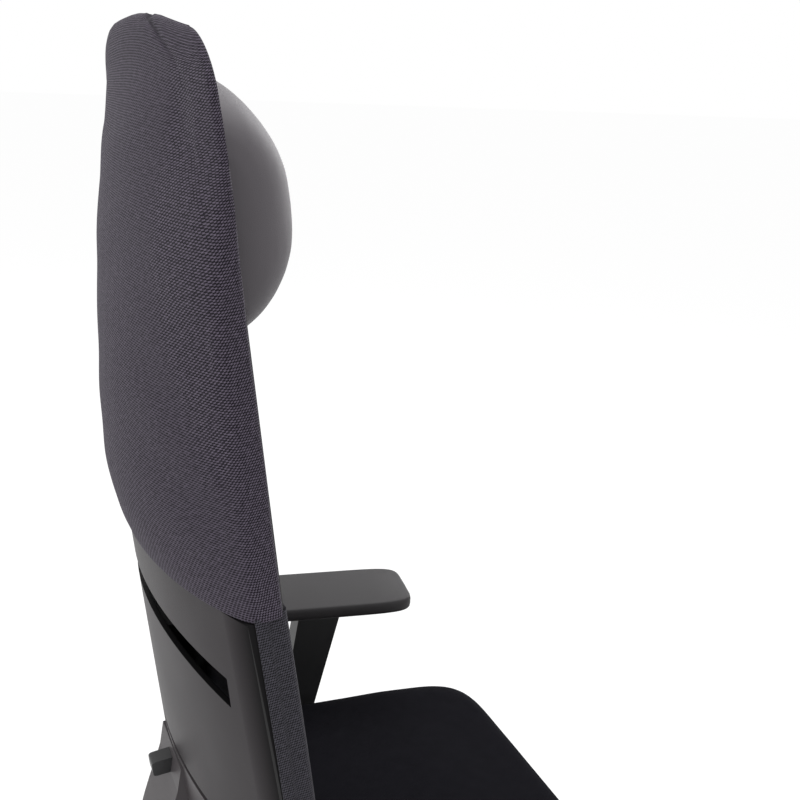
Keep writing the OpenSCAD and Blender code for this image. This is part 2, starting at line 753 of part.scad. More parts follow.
// Perimeter frame that carries the mesh, with a cross-member behind the sleeve's edge, thin
// upper corners and a rim that reaches back to the shell below the sleeve
module mesh_frame() {
    rear_y = -mesh_y + mesh_t + frame_d;
    rear_r = frame_r + mesh_t + frame_d;
    color(black) in_back() difference() {
        intersection() {
            arc_disc(-shell_t - clear, shell_r - shell_t - clear, back_bottom, frame_top);
            through_back() difference() {
                polygon(outline(back_bottom, frame_top, corner_low_r, corner_top_r, 0));
                difference() {
                    polygon(outline(back_bottom + mesh_t + frame_w, frame_top - frame_w,
                        corner_low_r - frame_w, corner_top_r - frame_w, mesh_t + frame_w));
                    translate([-back_hw * 2, sleeve_z]) square([back_hw * 4, frame_w]);
                }
            }
        }
        // room for the mesh in front of the frame and where it turns round the sides
        arc_disc(-mesh_y + mesh_t, frame_r + mesh_t, back_bottom - over, back_top);
        difference() {
            arc_disc(rear_y + clear, rear_r + clear, back_bottom - over, back_top);
            through_back() polygon(outline(back_bottom + mesh_t, frame_top - mesh_t, corner_low_r, corner_top_r,
                mesh_t));
        }
        // behind the frame only the rim is left
        difference() {
            through_back() {
                polygon(outline(back_bottom + rim_t, back_top, corner_low_r - rim_t, corner_top_r, rim_t));
                translate([-2 * back_hw, sleeve_z - clear]) square([4 * back_hw, back_top]);
                arch_cut();
            }
            arc_disc(rear_y, rear_r, -arch_z, 2 * back_top);
        }
        difference() {
            arc_disc(mesh_edge_y, frame_r, frame_thin_z, back_top);
            arc_disc(-frame_thin_y, frame_thin_r, frame_thin_z - over, back_top + over);
        }
    }
}

// Knitted mesh over the front of the lower back, turned back round the frame's sides
module mesh_panel() {
    color(cloth) in_back() difference() {
        intersection() {
            arc_disc(-mesh_y + mesh_return, frame_r + mesh_return, back_bottom, sleeve_z - clear);
            through_back() polygon(outline(back_bottom, back_top, corner_low_r, corner_top_r, 0));
        }
        arc_disc(-mesh_y, frame_r, back_bottom - over, sleeve_z + over);
        difference() {
            through_back() polygon(outline(back_bottom + mesh_t - clear, back_top * 2, corner_low_r,
                corner_top_r, mesh_t - clear));
            arc_disc(-mesh_y + mesh_t - clear, frame_r + mesh_t - clear, back_bottom - over, back_top * 2);
        }
    }
}

// Depth of the sleeve's rear face at the middle, at height z up the back
function sleeve_rear(z) = sleeve_pad * pow(sin(90 * between((z - sleeve_z + over) / sleeve_roll, 0, 1)), 0.7)
    + hem_t - sleeve_slope * pow(between((min(z, slope_end_z) - sleeve_z - sleeve_roll)
    / (back_top - sleeve_z - sleeve_roll), 0, 1), slope_power_share);
// Depth of its side ridges, which lean forward to the front face near the top
function sleeve_ridge(z) = max(ridge_edge - mesh_edge_y,
    -ridge_y - ridge_slope * between((z - sleeve_z) / (back_top - sleeve_z), 0, 1)
    - ridge_recede * pow(between((z - ridge_break) / (back_top - ridge_break), 0, 1), slope_power_share));
// One ring of the sleeve: front face nearly flat, rear face arched between the ridges
function sleeve_ring(z, hw, front_in, rear_in, squeeze, fall, n) = [for (i = [0:n - 1]) let (
    t = 360 * i / n,
    x = hw * signed_pow(cos(t), sin(t) < 0 ? front_corner_share : rear_corner_share),
    s = 0.5 + 0.5 * signed_pow(sin(t), sin(t) < 0 ? front_corner_share : 2 * front_corner_share),
    front = -mesh_y - sag(x, frame_r) + front_in,
    rear = sleeve_ridge(z) + (sleeve_rear(z) - sleeve_ridge(z)) * (1 - pow(x / hw, 2)) - rear_in,
    mid = (front + rear) / 2)
    [x, mid + (front + (rear - front) * s - mid) * squeeze,
        z - fall * pow(between((z - ridge_break) / (back_top - ridge_break), 0, 1) * x / back_hw, 2)]];

// Padded fabric sleeve, open below, drawn over the frame and the shell's tongue
module back_sleeve() {
    hw = back_hw + sleeve_proud;
    heights = [0, 0.018, 0.045, 0.085, 0.14, 0.22, 0.33, 0.45, 0.57, 0.68, 0.78, 0.86, 0.925];
    color(cloth) in_back() difference() {
        loft(concat(
            [for (h = heights) sleeve_ring(sleeve_z + (back_top - sleeve_top_r - sleeve_z) * h / 0.925, hw, 0, 0, 1,
                sleeve_crown, 44)],
            [for (a = [30, 55, 75, 90]) sleeve_ring(back_top - sleeve_top_r * (1 - sin(a)),
                hw - sleeve_top_r * 0.8 * (1 - cos(a)), 0, 0, 1 - 0.8 * pow(1 - cos(a), 1.5),
                sleeve_crown, 44)]));
        // room for the frame and the rail
        loft([for (h = [0, 0.15, 0.35, 0.55, 0.75, 1]) sleeve_ring(
            sleeve_z + tongue_h + clear + (frame_top + clear - sleeve_z - tongue_h) * h, back_hw - mesh_t + clear,
            mesh_t - clear, sleeve_wall, 1, 0, 32)]);
        intersection() {
            difference() {
                arc_disc(clear, shell_r + clear, sleeve_z - over, sleeve_z + tongue_h + 2 * clear);
                arc_disc(-mesh_y + mesh_t - clear, frame_r + mesh_t - clear, sleeve_z - 2 * over, back_top);
            }
            translate([-back_hw + tongue_inset - clear, -2 * mesh_edge_y, sleeve_z - over])
                cube([2 * (back_hw - tongue_inset + clear), 4 * mesh_edge_y, tongue_h + over + 2 * clear]);
        }
        intersection() {
            difference() {
                arc_disc(-mesh_y + mesh_t + frame_d + clear, frame_r + mesh_t + frame_d + clear,
                    sleeve_z - over, frame_top);
                arc_disc(-mesh_y + mesh_t - clear, frame_r + mesh_t - clear, sleeve_z - 2 * over, back_top);
                difference() {
                    arc_disc(mesh_edge_y, frame_r, frame_thin_z + clear, back_top);
                    arc_disc(clear - frame_thin_y, frame_thin_r + clear, frame_thin_z, back_top + over);
                }
            }
            through_back() polygon(outline(-back_top, frame_top + clear, corner_low_r, corner_top_r,
                mesh_t - clear));
        }
        // upright slit for the neck of the pillow's slide
        translate([-neck_hw - clear, -mesh_edge_y - over, pillow_z - pillow_travel - shoe_hh - clear])
            cube([2 * (neck_hw + clear), mesh_edge_y - mesh_y + mesh_t + 2 * over,
                2 * (pillow_travel + shoe_hh + clear)]);
    }
}

// Rail between the cross-members inside the sleeve
module headrest_rail() {
    low = sleeve_z + frame_w + clear;
    high = frame_top - frame_w - clear;
    front = -mesh_y + mesh_t;
    color(black) in_back() difference() {
        translate([-rail_hw, front, low]) cube([2 * rail_hw, rail_d, high - low]);
        translate([-rail_hw + rail_wall, front + rail_wall, low - over])
            cube([2 * (rail_hw - rail_wall), rail_d - 2 * rail_wall, high - low + 2 * over]);
        translate([-rail_slot_hw, front - over, low - over])
            cube([2 * rail_slot_hw, rail_wall + 2 * over, high - low + 2 * over]);
    }
}

// Shoe in the rail, neck through the sleeve and plate behind the pillow
module pillow_slide() {
    front = -mesh_y + mesh_t;
    plate_y = -mesh_y - sag(slide_plate_hw, frame_r) - clear - pillow_gap - slide_plate_t;
    color(black) in_back() translate([0, 0, pillow_z]) {
        translate([-rail_hw + rail_wall + clear, front + rail_wall + clear, -shoe_hh])
            cube([2 * (rail_hw - rail_wall - clear), rail_d - 2 * (rail_wall + clear), 2 * shoe_hh]);
        translate([-neck_hw, plate_y + slide_plate_t - over, -shoe_hh])
            cube([2 * neck_hw, front + rail_wall + clear - plate_y - slide_plate_t + 2 * over, 2 * shoe_hh]);
        translate([-slide_plate_hw, plate_y, -slide_plate_hh])
            cube([2 * slide_plate_hw, slide_plate_t, 2 * slide_plate_hh]);
    }
}

// Neck pillow: flat behind, a deep crescent in side view
module neck_pillow() {
    rear = mesh_y + sag(pillow_hw, frame_r) + clear + pillow_gap;
    base = rounded(1, 1, 0.56, 44);
    steps = [[0, 0.93, 0.955], [0.03, 0.965, 0.985], [0.09, 0.99, 1], [0.2, 1, 0.985], [0.34, 0.99, 0.93],
        [0.48, 0.965, 0.855], [0.62, 0.92, 0.75], [0.74, 0.86, 0.635], [0.84, 0.78, 0.51], [0.92, 0.67, 0.37],
        [0.97, 0.52, 0.24], [1, 0.3, 0.12]];
    color(hide) in_back() difference() {
        translate([0, 0, pillow_z]) rotate([90, 0, 0]) loft([for (k = steps) [for (p = base)
            [p[0] * pillow_hw * k[1], p[1] * pillow_h / 2 * k[2], rear + (pillow_d - rear + mesh_y) * k[0]]]]);
        // recess for the slide's plate
        translate([-slide_plate_hw - clear, -rear - slide_plate_t, pillow_z - slide_plate_hh - clear])
            cube([2 * (slide_plate_hw + clear), slide_plate_t * 2, 2 * (slide_plate_hh + clear)]);
    }
}

// Spine: round bar profile under the seat, flared plate in the shell's arch, inner blade
module spine() {
    n = 8;
    s = sin(back_lean);
    c = cos(back_lean);
    // point at depth y and height z in the frame of the back
    at = function (y, z) [back_y + y * c + z * s, seat_h - y * s + z * c];
    half = bar_t / 2;
    rear_top = at(over, arch_z - slot_gap * 2);
    rear_mid = at(over + plate_t / 2, push_z - push_h / 2);
    rear_low = [bar_reach, recline_z + bar_bend + bar_t];
    front_low = [bar_reach - bar_t, recline_z + bar_bend + bar_t];
    front_top = at(-plate_t + over, arch_z - slot_gap * 2);
    low_in = [bar_reach - bar_bend, bar_low_z + half];
    low_out = [bar_reach - bar_bend, bar_low_z - half];
    color(shell_grey) difference() {
        union() {
            // bar in side view
            across(2 * bar_hw) polygon(concat(
                [[recline_y, recline_z - half]],
                curve(low_out, [bar_reach - bar_bend * 0.3, bar_low_z - half],
                    [bar_reach + bar_t * 0.2, bar_low_z + bar_bend * 0.4], rear_low, n),
                curve(rear_low, rear_low + [-bar_t * 0.1, bar_bend], rear_mid + [bar_t * 0.2, -bar_bend * 0.3],
                    rear_mid, n),
                [rear_top, front_top],
                curve(at(-plate_t + over, push_z - push_h), at(-plate_t + over, waist_z),
                    front_low + [0, bar_bend], front_low, n),
                curve(front_low, [bar_reach - bar_t, bar_low_z + bar_bend * 0.5],
                    [bar_reach - bar_bend * 0.5, bar_low_z + half], low_in, n),
                [[recline_y, recline_z + half]]));
            across(2 * bar_hw) translate([recline_y, recline_z]) circle(r = half);
            // plate in the arch, curved with the shell
            in_back() intersection() {
                difference() {
                    arc_disc(0, shell_r, waist_z, arch_z);
                    arc_disc(-plate_t, shell_r - plate_t, waist_z - over, arch_z + over);
                }
                through_back() plate_outline();
            }
            in_back() translate([-blade_hw, -blade_y, blade_low])
                cube([2 * blade_hw, blade_t, blade_top - blade_low]);
            in_back() translate([-blade_hw, -blade_y, blade_low])
                cube([2 * blade_hw, blade_y - plate_t / 2, arch_z - slot_gap * 3 - blade_low]);
        }
        translate([0, recline_y, recline_z]) rotate([0, 90, 0])
            cylinder(r = pin_r + shaft_fit, h = 4 * bar_hw, center = true);
        in_back() translate([-push_hw - clear, -push_in - push_travel, push_z - push_h / 2 - clear])
            cube([2 * (push_hw + clear), push_in + push_travel + push_out + mesh_edge_y, push_h + 2 * clear]);
    }
}

// Push paddle behind the spine that frees the back's height
module height_paddle() {
    color(black) in_back() translate([0, -push_in, push_z]) rotate([0, 90, 0])
        linear_extrude(height = 2 * push_hw, center = true)
            polygon([for (p = rounded(push_h / 2, (push_in + push_out) / 2, pad_corner_share, 40))
                [p[0], p[1] + (push_in + push_out) / 2]]);
}

// Guide inside the shell that rides on the spine's blade
module height_carriage() {
    hw = blade_hw + carriage_wall;
    color(black) in_back() intersection() {
        arc_disc(-shell_t - clear, shell_r - shell_t - clear, carriage_low - over, carriage_top + over);
        difference() {
            translate([-hw, -blade_y - carriage_wall, carriage_low])
                cube([2 * hw, blade_y + carriage_wall, carriage_top - carriage_low]);
            translate([-blade_hw - clear, -blade_y - clear, carriage_low - over])
                cube([2 * (blade_hw + clear), blade_t + 2 * clear, carriage_top - carriage_low + 2 * over]);
        }
    }
}

// Y of the post's middle line at height z
function post_y(z) = post_foot_y - (z - foot_z) * tan(post_lean);

// Places the moving pieces of an armrest at their rest on the post
module on_post(side) {
    drop = side > 0 ? 0 : arm_raised;
    translate([0, drop * sin(post_lean), -drop * cos(post_lean)]) children();
}

module arm_bolt_at(side, k) {
    translate([side * (carrier_hw - bolt_x_inset), post_foot_y + k * bolt_pitch / 2, carrier_z]) children();
}

// Bracket from under the carrier to the fixed inner post
module arm_bracket(side) {
    top = post_top_z;
    groove_z = sleeve_low_z + over;
    color(black) difference() {
        union() {
            translate([side > 0 ? bracket_in : -post_x - post_t / 2, post_foot_y - bracket_d / 2, foot_z])
                cube([post_x + post_t / 2 - bracket_in, bracket_d, bracket_t]);
            translate([side * post_x, 0, 0]) across(post_t) polygon([
                [post_y(foot_z) - bracket_d / 2, foot_z], [post_y(foot_z) + bracket_d / 2, foot_z],
                [post_y(foot_z) + bracket_d / 2, foot_z + bracket_t],
                [post_y(foot_z + 2 * bracket_t) + post_d / 2, foot_z + 2 * bracket_t],
                [post_y(top) + post_d / 2, top],
                [post_y(top) - post_d / 2, top],
                [post_y(foot_z + 2 * bracket_t) - post_d / 2, foot_z + 2 * bracket_t],
                [post_y(foot_z) - bracket_d / 2, foot_z + bracket_t]]);
        }
        for (k = [-1, 1]) arm_bolt_at(side, k)
            cylinder(r = bolt_r + shaft_fit, h = 4 * bracket_t, center = true);
        // groove in the outer face that ends the armrest's travel
        translate([side * (post_x + post_t / 2), 0, 0]) across(2 * stop_groove_t) polygon([
            [post_y(groove_z) - stop_groove_hw, groove_z], [post_y(groove_z) + stop_groove_hw, groove_z],
            [post_y(groove_z + arm_travel) + stop_groove_hw, groove_z + arm_travel],
            [post_y(groove_z + arm_travel) - stop_groove_hw, groove_z + arm_travel]]);
    }
}

module arm_bolts(side) {
    color(steel) for (k = [-1, 1]) arm_bolt_at(side, k) {
        translate([0, 0, -bracket_t - bolt_head_t]) cylinder(r = bolt_head_r, h = bolt_head_t, $fn = 6);
        translate([0, 0, -bracket_t - over]) cylinder(r = bolt_r, h = bracket_t + carrier_t);
    }
}

// Outer sleeve that flares towards the pad and slides on the post
module arm_sleeve(side) {
    slot_z_top = arm_top_z - sleeve_head + over;
    color(black) on_post(side) difference() {
        translate([side * post_x, 0, 0]) across(sleeve_t) polygon([
            [post_y(sleeve_low_z) - sleeve_low_d / 2, sleeve_low_z],
            [post_y(sleeve_low_z) + sleeve_low_d / 2, sleeve_low_z],
            [post_y(arm_top_z) + sleeve_top_d / 2, arm_top_z],
            [post_y(arm_top_z) - sleeve_top_d / 2, arm_top_z]]);
        translate([side * post_x, 0, 0]) across(post_t + 2 * clear) polygon([
            [post_y(foot_z) - post_d / 2 - clear, foot_z], [post_y(foot_z) + post_d / 2 + clear, foot_z],
            [post_y(slot_z_top) + post_d / 2 + clear, slot_z_top],
            [post_y(slot_z_top) - post_d / 2 - clear, slot_z_top]]);
        translate([side * post_x, post_y(arm_top_z), arm_top_z - pivot_h])
            cylinder(r = pivot_r + shaft_fit, h = pivot_h + over);
        arm_button_at(side) translate([-arm_button_in, -arm_button_hw - clear, -arm_button_hh - clear])
            cube([arm_button_in + over, 2 * (arm_button_hw + clear), 2 * (arm_button_hh + clear)]);
    }
}

// Place of the height button on the outer face of the sleeve, X outwards
module arm_button_at(side) {
    z = arm_top_z - arm_button_drop;
    translate([side * (post_x + sleeve_t / 2), post_y(z), z]) scale([side, 1, 1]) children();
}

module arm_button(side) {
    color(steel * 0.4) on_post(side) arm_button_at(side) translate([arm_button_out - arm_button_l, 0, 0]) rotate([0, 90, 0])
        linear_extrude(height = arm_button_l)
            polygon(rounded(arm_button_hh, arm_button_hw, seat_corner_share, 40));
}

module at_pad(side) {
    on_post(side) translate([side * post_x, post_y(arm_top_z), arm_top_z]) rotate([0, 0, -side * pad_toe]) children();
}

// Plate that turns on the sleeve's head, with the key that the pad slides on
module pad_carrier(side) {
    color(black) at_pad(side) {
        translate([0, 0, clear - pivot_h]) cylinder(r = pivot_r, h = pivot_h);
        translate([-side * (post_x - pad_x) / 2, 0, clear]) linear_extrude(height = carrier_plate_t)
            polygon(rounded(carrier_plate_hw + (post_x - pad_x) / 2, carrier_plate_hl, seat_corner_share, 40));
        translate([-side * (post_x - pad_x) - pad_key_hw, -pad_key_hl, clear + carrier_plate_t - over])
            cube([2 * pad_key_hw, 2 * pad_key_hl, pad_key_h + over]);
    }
}

// Soft pad with a rounded edge and a flat top
module arm_pad(side) {
    base = rounded(1, 1, pad_corner_share, 48);
    mid_y = pad_l / 2 - pad_front - post_y(arm_top_z);
    edge = [[0.96, 0], [0.99, 0.12], [1, 0.3], [1, 0.7], [0.985, 0.88], [0.955, 0.97], [0.9, 1]];
    color(black) at_pad(side) difference() {
        translate([-side * (post_x - pad_x), mid_y, pad_low_z - arm_top_z]) loft([for (k = edge) [for (p = base)
            [p[0] * (pad_hw - pad_edge * (1 - k[0]) * 10), p[1] * (pad_l / 2 - pad_edge * (1 - k[0]) * 10),
                pad_t * k[1]]]]);
        translate([-side * (post_x - pad_x) - pad_key_hw - clear, -pad_key_hl - clear, pad_low_z - arm_top_z - over])
            cube([2 * (pad_key_hw + clear), 2 * (pad_key_hl + clear) + pad_travel, pad_key_h + over + clear]);
    }
}

star_base();
column_tube();
piston_rod();
for (i = [1:arm_count]) {
    castor_fork(i);
    castor_wheels(i);
}
mechanism_housing();
front_pivot_pin();
rear_pivot_pin();
tension_knob();
height_lever();
tilt_lock_lever();
seat_carrier();
seat_pan();
seat_cushion();
depth_button();
spine();
height_paddle();
height_carriage();
back_shell();
mesh_frame();
mesh_panel();
back_sleeve();
headrest_rail();
pillow_slide();
neck_pillow();
arm_bracket(1);  // arm_bracket_left
arm_sleeve(1);  // arm_sleeve_left
arm_button(1);  // arm_button_left
pad_carrier(1);  // pad_carrier_left
arm_pad(1);  // arm_pad_left
arm_bolts(1);  // arm_bolts_left
arm_bracket(-1);  // arm_bracket_right
arm_sleeve(-1);  // arm_sleeve_right
arm_button(-1);  // arm_button_right
pad_carrier(-1);  // pad_carrier_right
arm_pad(-1);  // arm_pad_right
arm_bolts(-1);  // arm_bolts_right
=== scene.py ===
# High-backed mesh office chair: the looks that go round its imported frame.
# Metres, +Z up, the sitter faces -Y. "Up the back" means along the leaning back,
# measured from seat height.
import math

import bmesh
import bpy
import numpy as np
from mathutils import Matrix, Vector


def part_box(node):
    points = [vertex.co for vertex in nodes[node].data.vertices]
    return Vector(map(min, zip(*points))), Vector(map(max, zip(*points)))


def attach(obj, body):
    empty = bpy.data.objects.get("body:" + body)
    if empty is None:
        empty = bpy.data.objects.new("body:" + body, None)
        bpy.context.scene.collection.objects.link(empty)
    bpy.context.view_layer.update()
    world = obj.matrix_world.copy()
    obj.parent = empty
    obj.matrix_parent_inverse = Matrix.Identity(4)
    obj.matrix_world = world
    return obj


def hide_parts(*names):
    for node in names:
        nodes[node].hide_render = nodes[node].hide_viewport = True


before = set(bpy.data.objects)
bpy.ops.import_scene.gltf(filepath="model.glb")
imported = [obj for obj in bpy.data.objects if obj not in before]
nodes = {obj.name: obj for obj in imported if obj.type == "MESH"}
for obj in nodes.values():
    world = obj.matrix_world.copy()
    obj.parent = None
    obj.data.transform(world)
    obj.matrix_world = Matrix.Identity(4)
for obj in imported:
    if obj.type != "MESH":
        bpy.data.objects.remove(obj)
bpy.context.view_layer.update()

# Studio
# Camera at the photograph's place, a pale floor, a white surround that only the camera,
# reflections and clear things see, and plain soft lamps.
scene = bpy.context.scene
scene.view_settings.view_transform = "Standard"

camera_place = (-0.9548, 0.4117, 1.2582)
yaw, pitch, roll = (math.radians(angle) for angle in (23.69, 17.75, 3.42))
camera_data = bpy.data.cameras.new("camera")
camera_data.lens = 50.87
camera_data.sensor_width = 36
camera_data.clip_end = 60
camera = bpy.data.objects.new("camera", camera_data)
scene.collection.objects.link(camera)
scene.camera = camera
ahead = Vector((math.cos(pitch) * math.cos(yaw), -math.cos(pitch) * math.sin(yaw), -math.sin(pitch)))
level = ahead.cross(Vector((0, 0, 1))).normalized()
above = level.cross(ahead)
across = math.cos(roll) * level + math.sin(roll) * above
upright = math.cos(roll) * above - math.sin(roll) * level
camera.matrix_world = Matrix.Translation(camera_place) @ Matrix(
    (across, upright, -ahead)).transposed().to_4x4()


def feed(tree, socket, value):
    """Sets a socket to a value, or links another node's output to it."""
    if isinstance(value, bpy.types.NodeSocket):
        tree.links.new(value, socket)
    else:
        socket.default_value = value


def add_node(tree, kind, feeds=None, operation=None):
    """A new shader node, with the sockets named in feeds set or linked."""
    node = tree.nodes.new("ShaderNode" + kind)
    if operation:
        node.operation = operation
    for socket, value in (feeds or {}).items():
        feed(tree, node.inputs[socket], value)
    return node


def maths(tree, operation, *terms):
    """The result of one sum on values or outputs."""
    return add_node(tree, "Math", dict(enumerate(terms)), operation).outputs[0]


WHITE = (1, 1, 1, 1)
world = bpy.data.worlds.new("white_surround")
scene.world = world
world.use_nodes = True
tree = world.node_tree
tree.nodes.clear()
rays = add_node(tree, "LightPath").outputs
seen = maths(tree, "MAXIMUM", rays["Is Camera Ray"], rays["Is Glossy Ray"])
seen = maths(tree, "MAXIMUM", seen, rays["Is Transmission Ray"])
soft_light = add_node(tree, "Background", {"Color": WHITE, "Strength": 0.62}).outputs[0]
bright = add_node(tree, "Background", {"Color": WHITE, "Strength": 1.0}).outputs[0]
choice = add_node(tree, "MixShader", {"Fac": seen, 1: soft_light, 2: bright}).outputs[0]
add_node(tree, "OutputWorld", {"Surface": choice})

# the camera sees the floor nearly white, with a faint shadow on it
bpy.ops.mesh.primitive_plane_add(size=40, location=(0, 0, 0))
floor = bpy.context.object
floor.name = "studio_floor"
floor_look = bpy.data.materials.new("studio_floor")
floor_look.use_nodes = True
tree = floor_look.node_tree
tree.nodes.clear()
rays = add_node(tree, "LightPath").outputs
seen = maths(tree, "MAXIMUM", rays["Is Camera Ray"], rays["Is Glossy Ray"])
matt = add_node(tree, "BsdfDiffuse", {"Color": (0.8, 0.8, 0.8, 1)}).outputs[0]
shadowed = add_node(tree, "BsdfDiffuse", {"Color": (0.2, 0.2, 0.2, 1)}).outputs[0]
glow = add_node(tree, "Emission", {"Color": WHITE, "Strength": 0.86}).outputs[0]
lifted = add_node(tree, "AddShader", {0: shadowed, 1: glow}).outputs[0]
choice = add_node(tree, "MixShader", {"Fac": seen, 1: matt, 2: lifted}).outputs[0]
add_node(tree, "OutputMaterial", {"Surface": choice})
floor.data.materials.append(floor_look)


def soft_lamp(name, place, aim, size, watts):
    """A square softbox at place that points at aim."""
    data = bpy.data.lights.new(name, "AREA")
    data.size = size
    data.energy = watts
    lamp = bpy.data.objects.new(name, data)
    lamp.location = place
    lamp.rotation_euler = (Vector(aim) - Vector(place)).to_track_quat("-Z", "Y").to_euler()
    scene.collection.objects.link(lamp)


soft_lamp("overhead", (0.3, -0.3, 3.4), (0, 0, 0.6), 3.0, 62)
soft_lamp("behind_left", (-2.2, 2.6, 2.2), (0, 0.2, 0.8), 2.2, 42)
soft_lamp("front_right", (2.4, -2.6, 1.9), (0, 0, 0.6), 2.2, 38)

# Star base
# Five tapered arms from one hub, injection moulded in black glass-filled nylon with a
# fine spark-eroded texture, rubbed a little by shoes.


def noise(tree, place, scale, detail=2):
    """The outputs of a cloudy texture."""
    return add_node(tree, "TexNoise", {"Vector": place, "Scale": scale, "Detail": detail}).outputs


def ranged(tree, value, low, high, to_low=0, to_high=1):
    """A value carried from one range to another, and held at its ends."""
    return add_node(tree, "MapRange", {"Value": value, "From Min": low, "From Max": high,
                                       "To Min": to_low, "To Max": to_high}).outputs["Result"]


def blend(tree, share, first, second, kind="RGBA"):
    """Two colours, or two numbers, mixed by a share of the second."""
    node = tree.nodes.new("ShaderNodeMix")
    node.data_type = kind
    for socket, value in (("Factor", share), ("A", first), ("B", second)):
        feed(tree, node.inputs[socket], value)
    return node.outputs["Result"]


def bumped(tree, height, strength, distance):
    """A normal tilted by a height of up to distance, in metres."""
    return add_node(tree, "Bump", {"Height": height, "Strength": strength,
                                   "Distance": distance}).outputs["Normal"]


def surface_group(name, inputs):
    """A node group that makes one kind of surface: the group, its inputs and its results."""
    group = bpy.data.node_groups.new(name, "ShaderNodeTree")
    results = {"Colour": "Color", "Roughness": "Float", "Normal": "Vector"}
    for direction, sockets in (("INPUT", inputs), ("OUTPUT", results)):
        for label, kind in sockets.items():
            group.interface.new_socket(name=label, in_out=direction, socket_type="NodeSocket" + kind)
    return group, group.nodes.new("NodeGroupInput").outputs, group.nodes.new("NodeGroupOutput").inputs


def give(group, results, colour, roughness, normal):
    """Links what a surface group has made to its results."""
    for label, made in (("Colour", colour), ("Roughness", roughness), ("Normal", normal)):
        group.links.new(made, results[label])
    return group


def moulded_group():
    """Grain, mottling and worn high spots of textured plastic, from Object coordinates."""
    g, given, results = surface_group("moulded_texture", {
        "Colour": "Color", "Rubbed colour": "Color", "Grain scale": "Float", "Grain depth": "Float",
        "Roughness low": "Float", "Roughness high": "Float"})
    place = add_node(g, "TexCoord").outputs["Object"]
    grain = noise(g, place, given["Grain scale"])["Fac"]
    cloud = noise(g, place, 9, 5)["Fac"]
    patch = ranged(g, cloud, 0.42, 0.72)
    speck = ranged(g, grain, 0.35, 0.75, 0, 0.55)
    worn = maths(g, "MULTIPLY_ADD", patch, 0.5, speck)
    tone = blend(g, worn, given["Colour"], given["Rubbed colour"])
    rough = ranged(g, cloud, 0, 1, given["Roughness high"], given["Roughness low"])
    return give(g, results, tone, rough, bumped(g, grain, given["Grain depth"], 0.0004))


moulded = moulded_group()


def new_look(name, group, texture_values, shader_values):
    """A material with its colour, roughness and normal from a surface group, and that texture."""
    look = bpy.data.materials.new(name)
    look.use_nodes = True
    tree = look.node_tree
    shader = tree.nodes["Principled BSDF"]
    texture = tree.nodes.new("ShaderNodeGroup")
    texture.node_tree = group
    for node, values in ((texture, texture_values), (shader, shader_values)):
        for socket, value in values.items():
            node.inputs[socket].default_value = value
    for socket, made in (("Base Color", "Colour"), ("Roughness", "Roughness"), ("Normal", "Normal")):
        tree.links.new(texture.outputs[made], shader.inputs[socket])
    return look, texture


def plastic(name, colour, rubbed, grain, depth, rough_low, rough_high, specular=0.5):
    """Textured moulded plastic or paint."""
    return new_look(name, moulded, {
        "Colour": (*colour, 1), "Rubbed colour": (*rubbed, 1), "Grain scale": grain, "Grain depth": depth,
        "Roughness low": rough_low, "Roughness high": rough_high}, {"Specular IOR Level": specular})[0]


def dress(look, *names):
    """Gives CAD nodes a material."""
    for name in names:
        mesh = nodes[name].data
        mesh.materials.clear()
        mesh.materials.append(look)


base_nylon = plastic("base_nylon", (0.013, 0.013, 0.014), (0.028, 0.028, 0.029), 800, 0.3, 0.4, 0.58)
dress(base_nylon, "star_base")

# Gas column
# Painted steel pressure tube in the hub's taper, with the ground rod of the spring that
# slides in it and carries the mechanism.
column_paint = plastic("column_paint", (0.011, 0.011, 0.012), (0.018, 0.018, 0.018), 2200, 0.12, 0.28, 0.4)
dress(column_paint, "column_tube")


def metal_group():
    """Fine drawn lines and tarnish of bare steel, from Object coordinates."""
    g, given, results = surface_group("drawn_steel", {
        "Colour": "Color", "Tarnish": "Color", "Roughness low": "Float", "Roughness high": "Float"})
    place = add_node(g, "TexCoord").outputs["Object"]
    stretched = add_node(g, "Mapping", {"Vector": place, "Scale": (60, 60, 1500)}).outputs["Vector"]
    lines = noise(g, stretched, 1, 3)["Fac"]
    spots = ranged(g, noise(g, place, 40, 4)["Fac"], 0.5, 0.8)
    tone = blend(g, spots, given["Colour"], given["Tarnish"])
    rough = ranged(g, lines, 0, 1, given["Roughness low"], given["Roughness high"])
    return give(g, results, tone, rough, bumped(g, lines, 0.1, 0.0002))


drawn = metal_group()


def bare_steel(name, colour, tarnish, rough_low, rough_high):
    """Unpainted steel, ground or zinc plated."""
    return new_look(name, drawn, {
        "Colour": (*colour, 1), "Tarnish": (*tarnish, 1),
        "Roughness low": rough_low, "Roughness high": rough_high}, {"Metallic": 1})[0]


ground_rod = bare_steel("ground_rod", (0.72, 0.72, 0.73), (0.6, 0.6, 0.6), 0.08, 0.2)
dress(ground_rod, "piston_rod")

# Castors
# Twin hard wheels under a moulded hood, on a steel stem that turns in the base's socket.
castor_nylon = plastic("castor_nylon", (0.012, 0.012, 0.013), (0.025, 0.025, 0.026), 1200, 0.2, 0.3, 0.45)
wheel_tread = plastic("wheel_tread", (0.02, 0.02, 0.021), (0.045, 0.044, 0.042), 500, 0.3, 0.45, 0.65)
for i in range(1, 6):
    dress(castor_nylon, f"castor_fork_{i}")
    dress(wheel_tread, f"castor_wheels_{i}")

